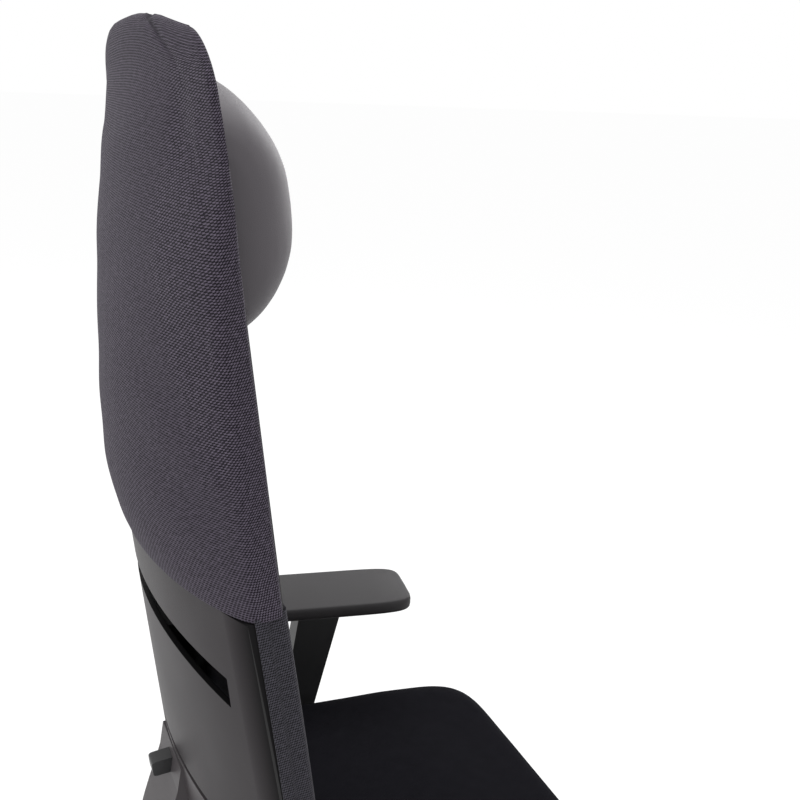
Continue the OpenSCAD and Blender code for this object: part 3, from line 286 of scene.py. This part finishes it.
# Tilt mechanism
# Ribbed die-cast housing in black powder coat, plated pivot pins, and the moulded knob and
# levers that work it. The same moulded black is on the seat pan, inside the back and on the arms.
powder_coat = plastic("powder_coat", (0.014, 0.014, 0.015), (0.026, 0.026, 0.027), 1600, 0.35, 0.35, 0.5)
dress(powder_coat, "mechanism_housing", "seat_carrier", "arm_bracket_left", "arm_bracket_right")
zinc = bare_steel("zinc_plate", (0.55, 0.55, 0.56), (0.32, 0.31, 0.3), 0.25, 0.45)
dress(zinc, "front_pivot_pin", "rear_pivot_pin", "arm_bolts_left", "arm_bolts_right")
fine_black = plastic("fine_black", (0.011, 0.011, 0.012), (0.022, 0.022, 0.023), 1500, 0.25, 0.34, 0.5)
dress(fine_black, "tension_knob", "height_lever", "tilt_lock_lever", "seat_pan", "depth_button",
      "height_paddle", "height_carriage", "mesh_frame", "headrest_rail", "pillow_slide",
      "arm_button_left", "arm_button_right", "pad_carrier_left", "pad_carrier_right",
      "arm_sleeve_left", "arm_sleeve_right")

# Spine and back shell
# The spine's upright flares into a plate that sits in the arch of the shell. Both are
# moulded in a dark warm grey with a fine matt texture, the spine a little lighter.
shell_grey = plastic("shell_grey", (0.029, 0.0252, 0.0276), (0.035, 0.0307, 0.0335),
                     1400, 0.22, 0.38, 0.48, 0.10)
dress(shell_grey, "back_shell")
# two heights above the floor, and the shell's half width at each
shell_heights, shell_half_widths = (0.598, 0.824), (0.235, 0.221)


def roll_and_shade_sides(look, band, fall, shade):
    """Rolls the shell forward in a band along its sides as a bump, and paints shade into its colour there and
    on the slot's walls.
    """
    tree = look.node_tree
    shader = tree.nodes["Principled BSDF"]
    texture = shader.inputs["Base Color"].links[0].from_node.outputs
    place = add_node(tree, "TexCoord").outputs
    at = add_node(tree, "SeparateXYZ", {0: place["Object"]}).outputs
    facing = add_node(tree, "SeparateXYZ", {0: place["Normal"]}).outputs
    half = ranged(tree, at["Z"], *shell_heights, *shell_half_widths)
    inset = maths(tree, "SUBTRACT", half, maths(tree, "ABSOLUTE", at["X"]))
    roll_and_shade = maths(tree, "POWER", ranged(tree, inset, band, 0), 1.7)
    # the slot's walls are the only faces of the shell that look up, and they get painted shade
    slot_wall_shade = ranged(tree, facing["Z"], 0.35, 0.75)
    # painted shade: the colour goes to the shade colour in the rolled band and on the slot's walls
    shaded = blend(tree, maths(tree, "MAXIMUM", roll_and_shade, slot_wall_shade), texture["Colour"], (*shade, 1))
    tree.links.new(shaded, shader.inputs["Base Color"])
    bump = add_node(tree, "Bump", {"Strength": 1, "Distance": fall, "Height": roll_and_shade,
                                   "Normal": texture["Normal"]})
    bump.invert = True
    tree.links.new(bump.outputs["Normal"], shader.inputs["Normal"])


# painted shade along the shell's sides and on the slot's walls, and a bump that rolls the sides
roll_and_shade_sides(shell_grey, 0.030, 0.010, (0.004, 0.0037, 0.0042))
spine_grey = plastic("spine_grey", (0.058, 0.052, 0.055), (0.068, 0.061, 0.064),
                     1400, 0.22, 0.38, 0.48, 0.18)
dress(spine_grey, "spine")

# Knitted cloth
# The same stretch knit covers the sleeve and the lower back. Its rows lie close on the
# rear panel, and pull open to a square net where it stretches over the sides.
STITCH = 0.0021


def knit_group():
    """Stitches of a stretch knit on a map in metres: close rows, or a net pulled open.

    Every stitch leaves a slanted gap, painted dark as shade, and each row is set over half a stitch."""
    g, given, results = surface_group("stretch_knit", {
        "Map": "Vector", "Openness": "Float", "Seam": "Float",
        "Yarn": "Color", "Yarn light": "Color", "Gap shade": "Color"})

    def of(operation, *terms):
        return maths(g, operation, *terms)

    # a slow wander keeps the rows from looking ruled, and a quick one makes stitches differ
    wander = noise(g, given["Map"], 22)["Color"]
    wandered = add_node(g, "VectorMath", {0: wander, 1: (0.004, 0.003, 0), 2: given["Map"]}, "MULTIPLY_ADD")
    uneven = of("SUBTRACT", noise(g, given["Map"], 330)["Fac"], 0.5)
    at = add_node(g, "SeparateXYZ", {0: wandered.outputs[0]}).outputs
    v = of("DIVIDE", at["Y"], STITCH)
    u = of("MULTIPLY_ADD", of("FLOOR", v), 0.5, of("DIVIDE", at["X"], STITCH))
    across = of("SUBTRACT", of("FRACT", u), 0.5)
    upward = of("SUBTRACT", of("FRACT", v), 0.5)
    stitches = []
    # close rows, then the net: lean and flatness of a gap, how far out yarn is full, and its soft edge
    for slant, tall, wide, soft in ((0.7, 1.25, 0.60, 0.36), (0.95, 0.95, 0.61, 0.32)):
        leant = of("MULTIPLY_ADD", upward, -slant, across)
        tall_part = of("POWER", of("ABSOLUTE", of("MULTIPLY", upward, tall)), 2)
        reach = of("SQRT", of("ADD", of("MULTIPLY", leant, leant), tall_part))
        reach = of("MULTIPLY_ADD", uneven, 0.5, reach)
        gap = add_node(g, "MapRange", {"Value": reach, "From Min": wide - soft, "From Max": wide})
        gap.interpolation_type = "SMOOTHSTEP"
        stitches.append(gap.outputs["Result"])
    closed = of("MULTIPLY_ADD", stitches[0], 0.62, 0.03)
    height = blend(g, given["Openness"], closed, stitches[1], "FLOAT")
    # painted shade along the seam's groove, which also sinks the bump there
    shown = of("MULTIPLY", height, of("SUBTRACT", 1, given["Seam"]))
    lint = noise(g, given["Map"], 260, 3)["Fac"]
    yarn = blend(g, lint, given["Yarn"], given["Yarn light"])
    # painted shade: the gaps between stitches take the dark gap colour
    colour = blend(g, shown, given["Gap shade"], yarn)
    rough = ranged(g, shown, 0, 1, 0.95, 0.7)
    return give(g, results, colour, rough, bumped(g, shown, 0.7, 0.0008))


knit = knit_group()


def on_cloth_map(look, texture):
    """Lays a texture along a piece's own map."""
    cloth_map = look.node_tree.nodes.new("ShaderNodeUVMap")
    cloth_map.uv_map = "cloth"
    look.node_tree.links.new(cloth_map.outputs["UV"], texture.inputs["Map"])


def knit_look(name, yarn, light, gap):
    """Stretch knit, opened by a piece's open_knit attribute, and sunk and darkened along its seam by a stored
    attribute: painted shade in the seam's groove.
    """
    look, texture = new_look(
        name, knit, {"Yarn": (*yarn, 1), "Yarn light": (*light, 1), "Gap shade": (*gap, 1)},
        {"Specular IOR Level": 0.25, "Sheen Weight": 0.08, "Sheen Roughness": 0.4,
         "Sheen Tint": (0.85, 0.82, 0.9, 1)})
    on_cloth_map(look, texture)
    for socket, attribute in (("Openness", "open_knit"), ("Seam", "seam_shade")):
        stored = look.node_tree.nodes.new("ShaderNodeAttribute")
        stored.attribute_name = attribute
        look.node_tree.links.new(stored.outputs["Fac"], texture.inputs[socket])
    return look


# the last colour of each knit is painted shade in its gaps
sleeve_knit = knit_look("sleeve_knit", (0.056, 0.0445, 0.067), (0.146, 0.122, 0.166), (0.005, 0.0035, 0.007))
panel_knit = knit_look("panel_knit", (0.033, 0.031, 0.041), (0.105, 0.100, 0.124), (0.0015, 0.0015, 0.0025))

# Fabric sleeve of the upper back
# A padded cover drawn down over the frame like a sock: rear panel, a boxing strip over
# the sides and top, front panel, and a turned hem that lies on the shell.
LEAN = math.radians(8.1)
BACK_Y, SEAT_Z = 0.1945, 0.440
# half width of the back, how far in front of its line the knit lies, and the bow of its frame
back_hw, mesh_y, frame_r = 0.221, 0.072, 3.4922
# heights up the back: the sleeve's ends, where its rear recedes, and where its top rounds off
sleeve_low, sleeve_high, recede_start = 0.388, 0.824, 0.630
hem_rise, top_start, top_rise = 0.057, 0.777, 0.046
ring_count, body_rows, top_rows = 240, 130, 30


def up_the_back(x, y, z):
    """World points from places across, behind and up the leaning back."""
    return np.stack([x, BACK_Y + y * math.cos(LEAN) + z * math.sin(LEAN),
                     SEAT_Z - y * math.sin(LEAN) + z * math.cos(LEAN)], axis=-1)


def signed_power(v, p):
    return np.sign(v) * np.abs(v) ** p


def smooth(v):
    """A soft step from 0 to 1."""
    v = np.clip(v, 0, 1)
    return v * v * (3 - 2 * v)


def run_along(x, y):
    """How far along a line each of its points is."""
    return np.concatenate([[0], np.cumsum(np.hypot(np.diff(x), np.diff(y)))])


def bowed_front(x):
    """Where the frame's bowed front lies, behind the back's line."""
    return -mesh_y - (frame_r - np.sqrt(frame_r ** 2 - x ** 2))


def sleeve_section(z, hw, squeeze, inset):
    """Closed line round the sleeve at height z, flat in front and arched behind, in even steps."""
    t = np.linspace(0, 2 * np.pi, 1441)[:-1] + np.pi * 1.5
    front = np.sin(t) < 0
    x = hw * signed_power(np.cos(t), np.where(front, 0.26, 0.36))
    s = 0.5 + 0.5 * signed_power(np.sin(t), np.where(front, 0.26, 0.52))
    # the rear swells out over the hem, then leans in towards the top
    rise = min(max((z - sleeve_low + 0.001) / hem_rise, 0), 1)
    fall = min(max((min(z, 0.790) - sleeve_low - hem_rise) / (sleeve_high - sleeve_low - hem_rise), 0), 1)
    back = 0.008 * math.sin(math.pi / 2 * rise) ** 0.7 + 0.0035 - 0.075 * fall ** 1.4
    recede = max(0, (z - recede_start) / (sleeve_high - recede_start))
    lean = 0.008 * (z - sleeve_low) / (sleeve_high - sleeve_low)
    ridge = max(-0.070, -0.043 - lean - 0.050 * recede ** 1.4)
    front_y = bowed_front(x) + inset
    rear_y = ridge + (back - ridge) * (1 - (x / hw) ** 2) - inset
    middle = front_y + (rear_y - front_y) * 0.38
    y = middle + (front_y + (rear_y - front_y) * s - middle) * squeeze
    x = x - np.sign(x) * np.minimum(inset, np.abs(x))
    x, y = np.append(x, x[0]), np.append(y, y[0])
    run = run_along(x, y)
    at = np.linspace(0, run[-1], ring_count + 1)
    return np.interp(at, run, x), np.interp(at, run, y), at


def sleeve_half_width(z):
    """Half width of the sleeve, drawn in a little towards the top."""
    return 0.224 - 0.010 * max(0, (z - 0.690) / 0.100) ** 1.4


def new_grid(name, steps, row_total):
    """A sheet of rows with so many steps each, and room for its places and its map."""
    bpy.ops.mesh.primitive_grid_add(x_subdivisions=steps, y_subdivisions=row_total - 1, size=1)
    sheet = bpy.context.object
    sheet.name = name
    return sheet, np.zeros((row_total, steps + 1, 3)), np.zeros((row_total, steps + 1, 2))


def numbers_of(items, name, count=1, kind=np.float32):
    """One property of every vertex, edge, corner or face, in rows of count."""
    numbers = np.zeros(len(items) * count, kind)
    items.foreach_get(name, numbers)
    return numbers.reshape(-1, count) if count > 1 else numbers


def lay_on_back(sheet, local, cloth):
    """Puts a grid's points in place on the leaning back, with their map in metres."""
    mesh = sheet.data
    points = up_the_back(local[:, 0], local[:, 1], local[:, 2])
    mesh.vertices.foreach_set("co", points.astype(np.float32).ravel())
    mesh.uv_layers[0].name = "cloth"
    corner_map = cloth.reshape(-1, 2)[numbers_of(mesh.loops, "vertex_index", kind=np.int32)]
    mesh.uv_layers["cloth"].data.foreach_set("uv", corner_map.astype(np.float32).ravel())
    mesh.update()


def mark(sheet, name, values):
    """Stores a number at each point of a piece."""
    stored = sheet.data.attributes.new(name, "FLOAT", "POINT")
    stored.data.foreach_set("value", values.astype(np.float32))


def weld(distance):
    """Merges those points of the current piece that lie closer than a distance."""
    bpy.ops.object.mode_set(mode="EDIT")
    bpy.ops.mesh.select_all(action="SELECT")
    bpy.ops.mesh.remove_doubles(threshold=distance)
    bpy.ops.mesh.select_all(action="DESELECT")
    bpy.ops.object.mode_set(mode="OBJECT")


def off_line(x, z, line):
    """Distance of each point from a line of (x, z) steps, and how far along it that is."""
    best, along, total = np.full(len(x), 9.0), np.zeros(len(x)), 0.0
    steps = [math.dist(p, q) for p, q in zip(line, line[1:])]
    for (px, pz), (qx, qz), step in zip(line, line[1:], steps):
        at = np.clip(((x - px) * (qx - px) + (z - pz) * (qz - pz)) / step ** 2, 0, 1)
        d = np.hypot(x - px - at * (qx - px), z - pz - at * (qz - pz))
        along = np.where(d < best, (total + at * step) / sum(steps), along)
        best = np.minimum(best, d)
        total += step
    return best, along


# each row is a height, a half width, a thickness, and how far it is tucked in: the hem, the
# body, the rounded top, and the last steps to a closed crown
rows = [(sleeve_low + up, sleeve_half_width(sleeve_low), 1, inset) for up, inset in
        ((0.014, 0.0035), (0.006, 0.0032), (0.001, 0.0022), (0, 0.0012), (0.0006, 0.0003))]
rows += [(z, sleeve_half_width(z), 1, 0) for z in np.linspace(sleeve_low + 0.002, top_start, body_rows)]
for a in np.radians(np.linspace(5, 90, top_rows)):
    rows.append((top_start + top_rise * math.sin(a), sleeve_half_width(top_start) - 0.042 * (1 - math.cos(a)),
                 1 - 0.8 * (1 - math.cos(a)) ** 1.3, 0))
crown_half_width = rows[-1][1]
rows += [(top_start + top_rise + 0.0002 * k, crown_half_width - 0.001 * k, 0.2 - 0.048 * k, 0)
         for k in range(1, 5)]
sleeve, place, cloth = new_grid("sleeve_cover", ring_count, len(rows))
faces_rear = np.zeros(place.shape[:2])
for k, (z, hw, squeeze, inset) in enumerate(rows):
    x, y, run = sleeve_section(z, hw, squeeze, inset)
    place[k] = np.stack([x, y, np.full(len(x), z)], axis=1)
    # the rows are drawn out sideways over the rear panel, where the knit lies closest
    along_x, along_y = np.gradient(x), np.gradient(y)
    faces_rear[k] = np.clip(-along_x / np.hypot(along_x, along_y), 0, 1) ** 2
    steps = np.diff(run) * (1 - 0.6 * (faces_rear[k, 1:] + faces_rear[k, :-1]) / 2)
    cloth[k, :, 0] = np.concatenate([[0], np.cumsum(steps)])
    if k:
        cloth[k, :, 1] = cloth[k - 1, 0, 1] + np.linalg.norm(place[k] - place[k - 1], axis=1).mean()
local = place.reshape(-1, 3)
side, height = np.abs(local[:, 0]), local[:, 2]

# the boxing seam is sewn from the top down each rear corner, and draws the cloth in, most
# of all at the sitter's right
seam = [(0.060, 0.826), (0.088, 0.821), (0.112, 0.816), (0.129, 0.810), (0.150, 0.803), (0.165, 0.792),
        (0.177, 0.775), (0.184, 0.745), (0.188, 0.700)]
middle_y = np.repeat(place[:, :, 1].mean(axis=1), ring_count + 1)
rear = smooth((local[:, 1] - middle_y) / 0.004 + 0.5)
off, along = off_line(side, height, seam)
hold = (1 - smooth(along / 0.75)) * np.where(local[:, 0] > 0, 0.15, 1)
groove = 0.0026 * smooth(along / 0.12) * hold * np.exp(-(off / 0.0026) ** 2)
swell_up = 0.0009 * smooth(along / 0.12) * hold * np.exp(-((off - 0.0085) / 0.0045) ** 2)
pucker = 0.0003 * hold * np.exp(-(off / 0.014) ** 2) * np.sin(along * 46 + side * 90)
dimple = 0.0024 * np.exp(-((side - 0.162) / 0.018) ** 2 - ((height - 0.762) / 0.024) ** 2)
# the padding is a little uneven, less so towards the hem and the top
soft = (0.0006 * np.sin(height * 41 + local[:, 0] * 9 + 1) * np.cos(local[:, 0] * 17 + 0.4)
        + 0.0004 * np.sin(height * 93 + 2 * np.sin(local[:, 0] * 21)))
push = (groove - swell_up - pucker + dimple) * rear
push += (soft * smooth((height - sleeve_low - 0.01) / 0.05)
         * (1 - 0.75 * smooth((height - 0.72) / 0.06)))
cap = smooth((height - top_start) / top_rise)
local[:, 1] -= push * (1 - 0.6 * cap) * np.where(local[:, 1] > middle_y, 1, -0.4)
local[:, 2] -= push * cap
# the crown drops a little to both sides, and more to the sitter's left, where it has settled
corner_drop, settled_drop = 0.010, 0.014
crown = smooth((height - 0.70) / 0.11)
local[:, 2] -= crown * (corner_drop * smooth((side - 0.07) / 0.14)
                        + settled_drop * smooth((local[:, 0] + 0.06) / 0.24))
lay_on_back(sleeve, local, cloth)
# the net is open over the sides as far as the boxing seam, and over the crown
inward = side + 0.9 * (local[:, 1] + 0.079)
line = 0.235 - 0.089 * smooth((height - 0.44) / 0.28)
side_share = np.maximum(1 - smooth((faces_rear.ravel() - 0.12) / 0.5), smooth((inward - line) / 0.030))
above_seam = side + 1.3 * (height - 0.800)
crown_share = smooth((above_seam - 0.150) / 0.010) * smooth((height - 0.74) / 0.03)
mark(sleeve, "open_knit", np.maximum(side_share, crown_share))
# painted shade along the seam's groove, kept for the material
mark(sleeve, "seam_shade", 0.85 * hold * rear * np.exp(-(off / 0.0016) ** 2))
weld(0.0003)
bm = bmesh.new()
bm.from_mesh(sleeve.data)
crown_edges = [e for e in bm.edges if e.is_boundary and min(v.co.z for v in e.verts) > 1.1]
bmesh.ops.holes_fill(bm, edges=crown_edges)
bmesh.ops.recalc_face_normals(bm, faces=bm.faces)
bm.to_mesh(sleeve.data)
bm.free()
bpy.ops.object.shade_smooth()
sleeve.data.materials.append(sleeve_knit)
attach(sleeve, "back")
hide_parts("back_sleeve")

# Mesh of the lower back
# One layer of the same knit, stretched over the front of the frame and turned back
# round its sides, where it ends beside the shell.
panel_low, panel_start, panel_end = 0.034, 0.0355, sleeve_low + 0.004
panel_rows, corner_rows, panel_count = 96, 16, 220
corner_r, edge_r, knit_thickness = 0.06, 0.006, 0.0022
# the turned part runs back over the frame's side to the hem, then out and on over the rim
hem_depth, rim_step, rim_depth = 0.0155, 0.0025, 0.0118


def half_width(z):
    """Half width of the back at height z, wider below the sleeve."""
    return back_hw + 0.014 * np.sin(np.pi / 2 * np.clip((sleeve_low - z) / 0.230, 0, 1))


corner_heights = panel_start + corner_r * (1 - np.cos(np.linspace(0, np.pi / 2, corner_rows)))
heights = np.concatenate([corner_heights[:-1], np.linspace(panel_start + corner_r, panel_end, panel_rows)])
panel, place, cloth = new_grid("mesh_cover", panel_count, len(heights))
for k, z in enumerate(heights):
    d = z - panel_low
    cut = 0 if d >= corner_r else corner_r - math.sqrt(max(0, corner_r ** 2 - (corner_r - d) ** 2))
    w = float(half_width(z)) - cut
    flat_x = np.linspace(-(w - edge_r), w - edge_r, 160)
    flat_y = bowed_front(flat_x)
    turn = np.linspace(0, np.pi / 2, 14)[1:]
    edge_x = w - edge_r + edge_r * np.sin(turn)
    edge_y = flat_y[-1] + edge_r * (1 - np.cos(turn))
    hem_y = bowed_front(w) + hem_depth
    back_y = np.concatenate([np.linspace(edge_y[-1] + 0.001, hem_y, 8),
                             np.linspace(hem_y + 0.001, hem_y + rim_depth, 14)])
    above_corner = 0 if d < 0.055 else smooth((d - 0.055) / 0.03)
    back_x = w + rim_step * smooth((back_y - hem_y) / rim_step) * above_corner
    x = np.concatenate([-back_x[::-1], -edge_x[::-1], flat_x, edge_x, back_x])
    y = np.concatenate([back_y[::-1], edge_y[::-1], flat_y, edge_y, back_y])
    run = run_along(x, y)
    at = np.linspace(0, run[-1], panel_count + 1)
    place[k] = np.stack([np.interp(at, run, x), np.interp(at, run, y), np.full(len(at), z)], axis=1)
    cloth[k] = np.stack([at - run[-1] / 2, np.full(len(at), z)], axis=1)
local = place.reshape(-1, 3)
lay_on_back(panel, local, cloth)
mark(panel, "open_knit", np.full(len(local), 0.3))
thicken = panel.modifiers.new("cloth_thickness", "SOLIDIFY")
thicken.thickness = knit_thickness
thicken.offset = -1
bpy.ops.object.mode_set(mode="EDIT")
bpy.ops.mesh.select_all(action="SELECT")
bpy.ops.mesh.normals_make_consistent(inside=False)
bpy.ops.mesh.select_all(action="DESELECT")
bpy.ops.object.mode_set(mode="OBJECT")
bpy.ops.object.modifier_apply(modifier="cloth_thickness")
bpy.ops.object.shade_smooth()
panel.data.materials.append(panel_knit)
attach(panel, "back")
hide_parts("mesh_panel")

# Seat cushion
# Moulded foam under a tight black woven cover, cut squarer at the corners than the foam
# and raised a little round the edge.


def weave_group():
    """Over and under of a plain upholstery weave, on a map in metres, with painted highlights on the raised
    crossings.
    """
    g, given, results = surface_group("plain_weave", {
        "Map": "Vector", "Threads per metre": "Float", "Thread": "Color", "Thread highlight": "Color"})
    scaled = add_node(g, "VectorMath", {0: given["Map"], "Scale": given["Threads per metre"]}, "SCALE")
    at = add_node(g, "SeparateXYZ", {0: scaled.outputs[0]}).outputs
    warp, weft = (maths(g, "SINE", maths(g, "MULTIPLY", at[axis], math.pi)) for axis in ("X", "Y"))
    high = maths(g, "ABSOLUTE", maths(g, "MULTIPLY", warp, weft))
    # painted highlight: the raised crossings of the threads are lighter, varied by a cloud
    painted_highlight = maths(g, "MULTIPLY", high, noise(g, given["Map"], 55, 6)["Fac"])
    tone = blend(g, painted_highlight, given["Thread"], given["Thread highlight"])
    rough = ranged(g, high, 0, 1, 0.95, 0.78)
    return give(g, results, tone, rough, bumped(g, high, 0.5, 0.0005))


weave = weave_group()


def weave_look(name, thread, light, threads):
    """Woven upholstery on a piece's own map."""
    look, texture = new_look(
        name, weave, {"Thread": (*thread, 1), "Thread highlight": (*light, 1), "Threads per metre": threads},
        {"Specular IOR Level": 0.02, "Sheen Weight": 0.01, "Sheen Roughness": 0.35})
    on_cloth_map(look, texture)
    return look


# the lighter colour is a painted highlight on the raised crossings
seat_weave = weave_look("seat_weave", (0.0055, 0.0054, 0.0072), (0.0135, 0.0130, 0.0170), 620)


def copy_of(node, name):
    """A merged copy of a CAD node, free to be reshaped, as the current piece."""
    copied = nodes[node].copy()
    copied.data = nodes[node].data.copy()
    copied.parent = None
    copied.hide_render = False
    for key in list(copied.keys()):
        del copied[key]
    copied.name = name
    scene.collection.objects.link(copied)
    bpy.ops.object.select_all(action="DESELECT")
    copied.select_set(True)
    bpy.context.view_layer.objects.active = copied
    copied.data.materials.clear()
    weld(0.00005)
    return copied


def swell(obj, voxel, cap):
    """Lets the current piece swell under its cover, no point further than cap."""
    pressure, frames, shrink, even_passes = 3, 14, 0.003, 40
    remesh = obj.modifiers.new("even_faces", "REMESH")
    remesh.mode = "VOXEL"
    remesh.voxel_size = voxel
    bpy.ops.object.modifier_apply(modifier="even_faces")
    soften = obj.modifiers.new("soften", "SMOOTH")
    soften.factor = 0.5
    soften.iterations = 6
    bpy.ops.object.modifier_apply(modifier="soften")
    start = numbers_of(obj.data.vertices, "co", 3) - numbers_of(obj.data.vertices, "normal", 3) * shrink
    obj.data.vertices.foreach_set("co", start.ravel())
    cover = obj.modifiers.new("cover", "CLOTH")
    cover.settings.quality = 5
    cover.settings.use_pressure = True
    cover.settings.uniform_pressure_force = pressure
    cover.settings.effector_weights.gravity = 0
    cover.point_cache.frame_end = frames
    for f in range(1, frames + 1):
        scene.frame_set(f)
    bpy.ops.object.modifier_apply(modifier="cover")
    scene.frame_set(1)
    move = numbers_of(obj.data.vertices, "co", 3) - start
    far = np.linalg.norm(move, axis=1, keepdims=True)
    move *= np.minimum(1, cap / np.maximum(far, 1e-9))
    # the foam under the cover evens out what the cover alone would wrinkle
    ends = numbers_of(obj.data.edges, "vertices", 2, np.int32)
    first, second = ends[:, 0], ends[:, 1]
    neighbours = np.maximum(np.bincount(ends.ravel(), minlength=len(start)), 1)[:, None]
    for _ in range(even_passes):
        pulled = np.zeros_like(move)
        np.add.at(pulled, first, move[second])
        np.add.at(pulled, second, move[first])
        move = 0.4 * move + 0.6 * pulled / neighbours
    obj.data.vertices.foreach_set("co", (start + move).astype(np.float32).ravel())
    obj.data.update()


def box_map(mesh):
    """A cloth map in metres, from the axis that each face looks along."""
    facing = np.abs(numbers_of(mesh.polygons, "normal", 3)) * (1, 1, 0.7)
    corners = numbers_of(mesh.polygons, "loop_total", kind=np.int32)
    axis = np.repeat(facing.argmax(axis=1), corners)[:, None]
    p = numbers_of(mesh.vertices, "co", 3)[numbers_of(mesh.loops, "vertex_index", kind=np.int32)]
    uv = np.where(axis == 0, p[:, [1, 2]], np.where(axis == 1, p[:, [0, 2]], p[:, [0, 1]]))
    mesh.uv_layers.new(name="cloth").data.foreach_set("uv", uv.astype(np.float32).ravel())


def seat_fullness(x, y):
    """Share of the way out to the seat's edge, and how far squarer corners move a place out."""
    foam_power, cover_power = 4, 8.5
    turn = np.arctan2(y, x)
    across, along = np.abs(np.cos(turn)), np.abs(np.sin(turn))
    round_edge = (across ** foam_power + along ** foam_power) ** (-1 / foam_power)
    square_edge = (across ** cover_power + along ** cover_power) ** (-1 / cover_power)
    out = np.hypot(x, y) / round_edge
    return out, 1 + (square_edge / round_edge - 1) * np.clip(out, 0, 1) ** 2


seat = copy_of("seat_cushion", "seat_upholstery")
seat_low, seat_high = (Vector(corner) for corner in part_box("seat_cushion"))
seat_mid, seat_half = (seat_low + seat_high) / 2, (seat_high - seat_low) / 2
front_draw, edge_raise = 0.975, 0.0082
co = numbers_of(seat.data.vertices, "co", 3)
x, y = (co[:, 0] - seat_mid.x) / seat_half.x, (co[:, 1] - seat_mid.y) / seat_half.y
out, wider = seat_fullness(x, y)
co[:, 0] = seat_mid.x + x * wider * seat_half.x
co[:, 1] = seat_mid.y + y * wider * seat_half.y * np.where(y < 0, front_draw, 1)
upper = smooth((co[:, 2] - seat_mid.z + 0.005) / 0.02)
co[:, 2] += edge_raise * upper * np.exp(-((out - 0.93) / 0.15) ** 2)
seat.data.vertices.foreach_set("co", co.ravel())
seat.data.update()
swell(seat, 0.006, 0.004)
bpy.ops.object.shade_smooth()
box_map(seat.data)
seat.data.materials.append(seat_weave)
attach(seat, "seat")
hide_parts("seat_cushion")

# Neck pillow
# Crescent of soft foam under a smooth dark grey cover, on the slide's plate.


def hide_group():
    """Fine pores and faint creases of a soft coated cover, from Object coordinates."""
    g, given, results = surface_group("coated_cover", {
        "Colour": "Color", "Worn colour": "Color", "Pore scale": "Float"})
    place = add_node(g, "TexCoord").outputs["Object"]
    pores = add_node(g, "TexVoronoi", {"Vector": place, "Scale": given["Pore scale"]})
    pores.feature = "DISTANCE_TO_EDGE"
    edge = ranged(g, pores.outputs["Distance"], 0, 0.12)
    cloud = noise(g, place, 14, 5)["Fac"]
    tone = blend(g, cloud, given["Colour"], given["Worn colour"])
    rough = ranged(g, cloud, 0, 1, 0.46, 0.6)
    return give(g, results, tone, rough, bumped(g, edge, 0.18, 0.0003))


coated = hide_group()


def coated_look(name, colour, worn, pores, specular=0.5):
    """Soft coated cover or skinned foam."""
    return new_look(name, coated, {"Colour": (*colour, 1), "Worn colour": (*worn, 1), "Pore scale": pores},
                    {"Specular IOR Level": specular})[0]


pillow_cover = coated_look("pillow_cover", (0.080, 0.072, 0.081), (0.108, 0.098, 0.108), 650, 0.4)
pillow = copy_of("neck_pillow", "pillow_cover")
swell(pillow, 0.005, 0.005)
bpy.ops.object.shade_smooth()
pillow.data.materials.append(pillow_cover)
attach(pillow, "pillow")
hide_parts("neck_pillow")

# Armrest pads
# Soft polyurethane skin over a plate, with a flat top and a drawn-in edge.
pad_skin = coated_look("pad_skin", (0.014, 0.0128, 0.0140), (0.024, 0.0215, 0.0235), 900, 0.32)
for side in ("left", "right"):
    pad = copy_of(f"arm_pad_{side}", f"pad_cover_{side}")
    soft_edge = pad.modifiers.new("soft_edge", "BEVEL")
    soft_edge.width = 0.001
    soft_edge.segments = 2
    bpy.ops.object.modifier_apply(modifier="soft_edge")
    bpy.ops.object.shade_smooth_by_angle(angle=math.radians(38))
    pad.data.materials.append(pad_skin)
    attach(pad, f"pad_{side}")
    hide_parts(f"arm_pad_{side}")
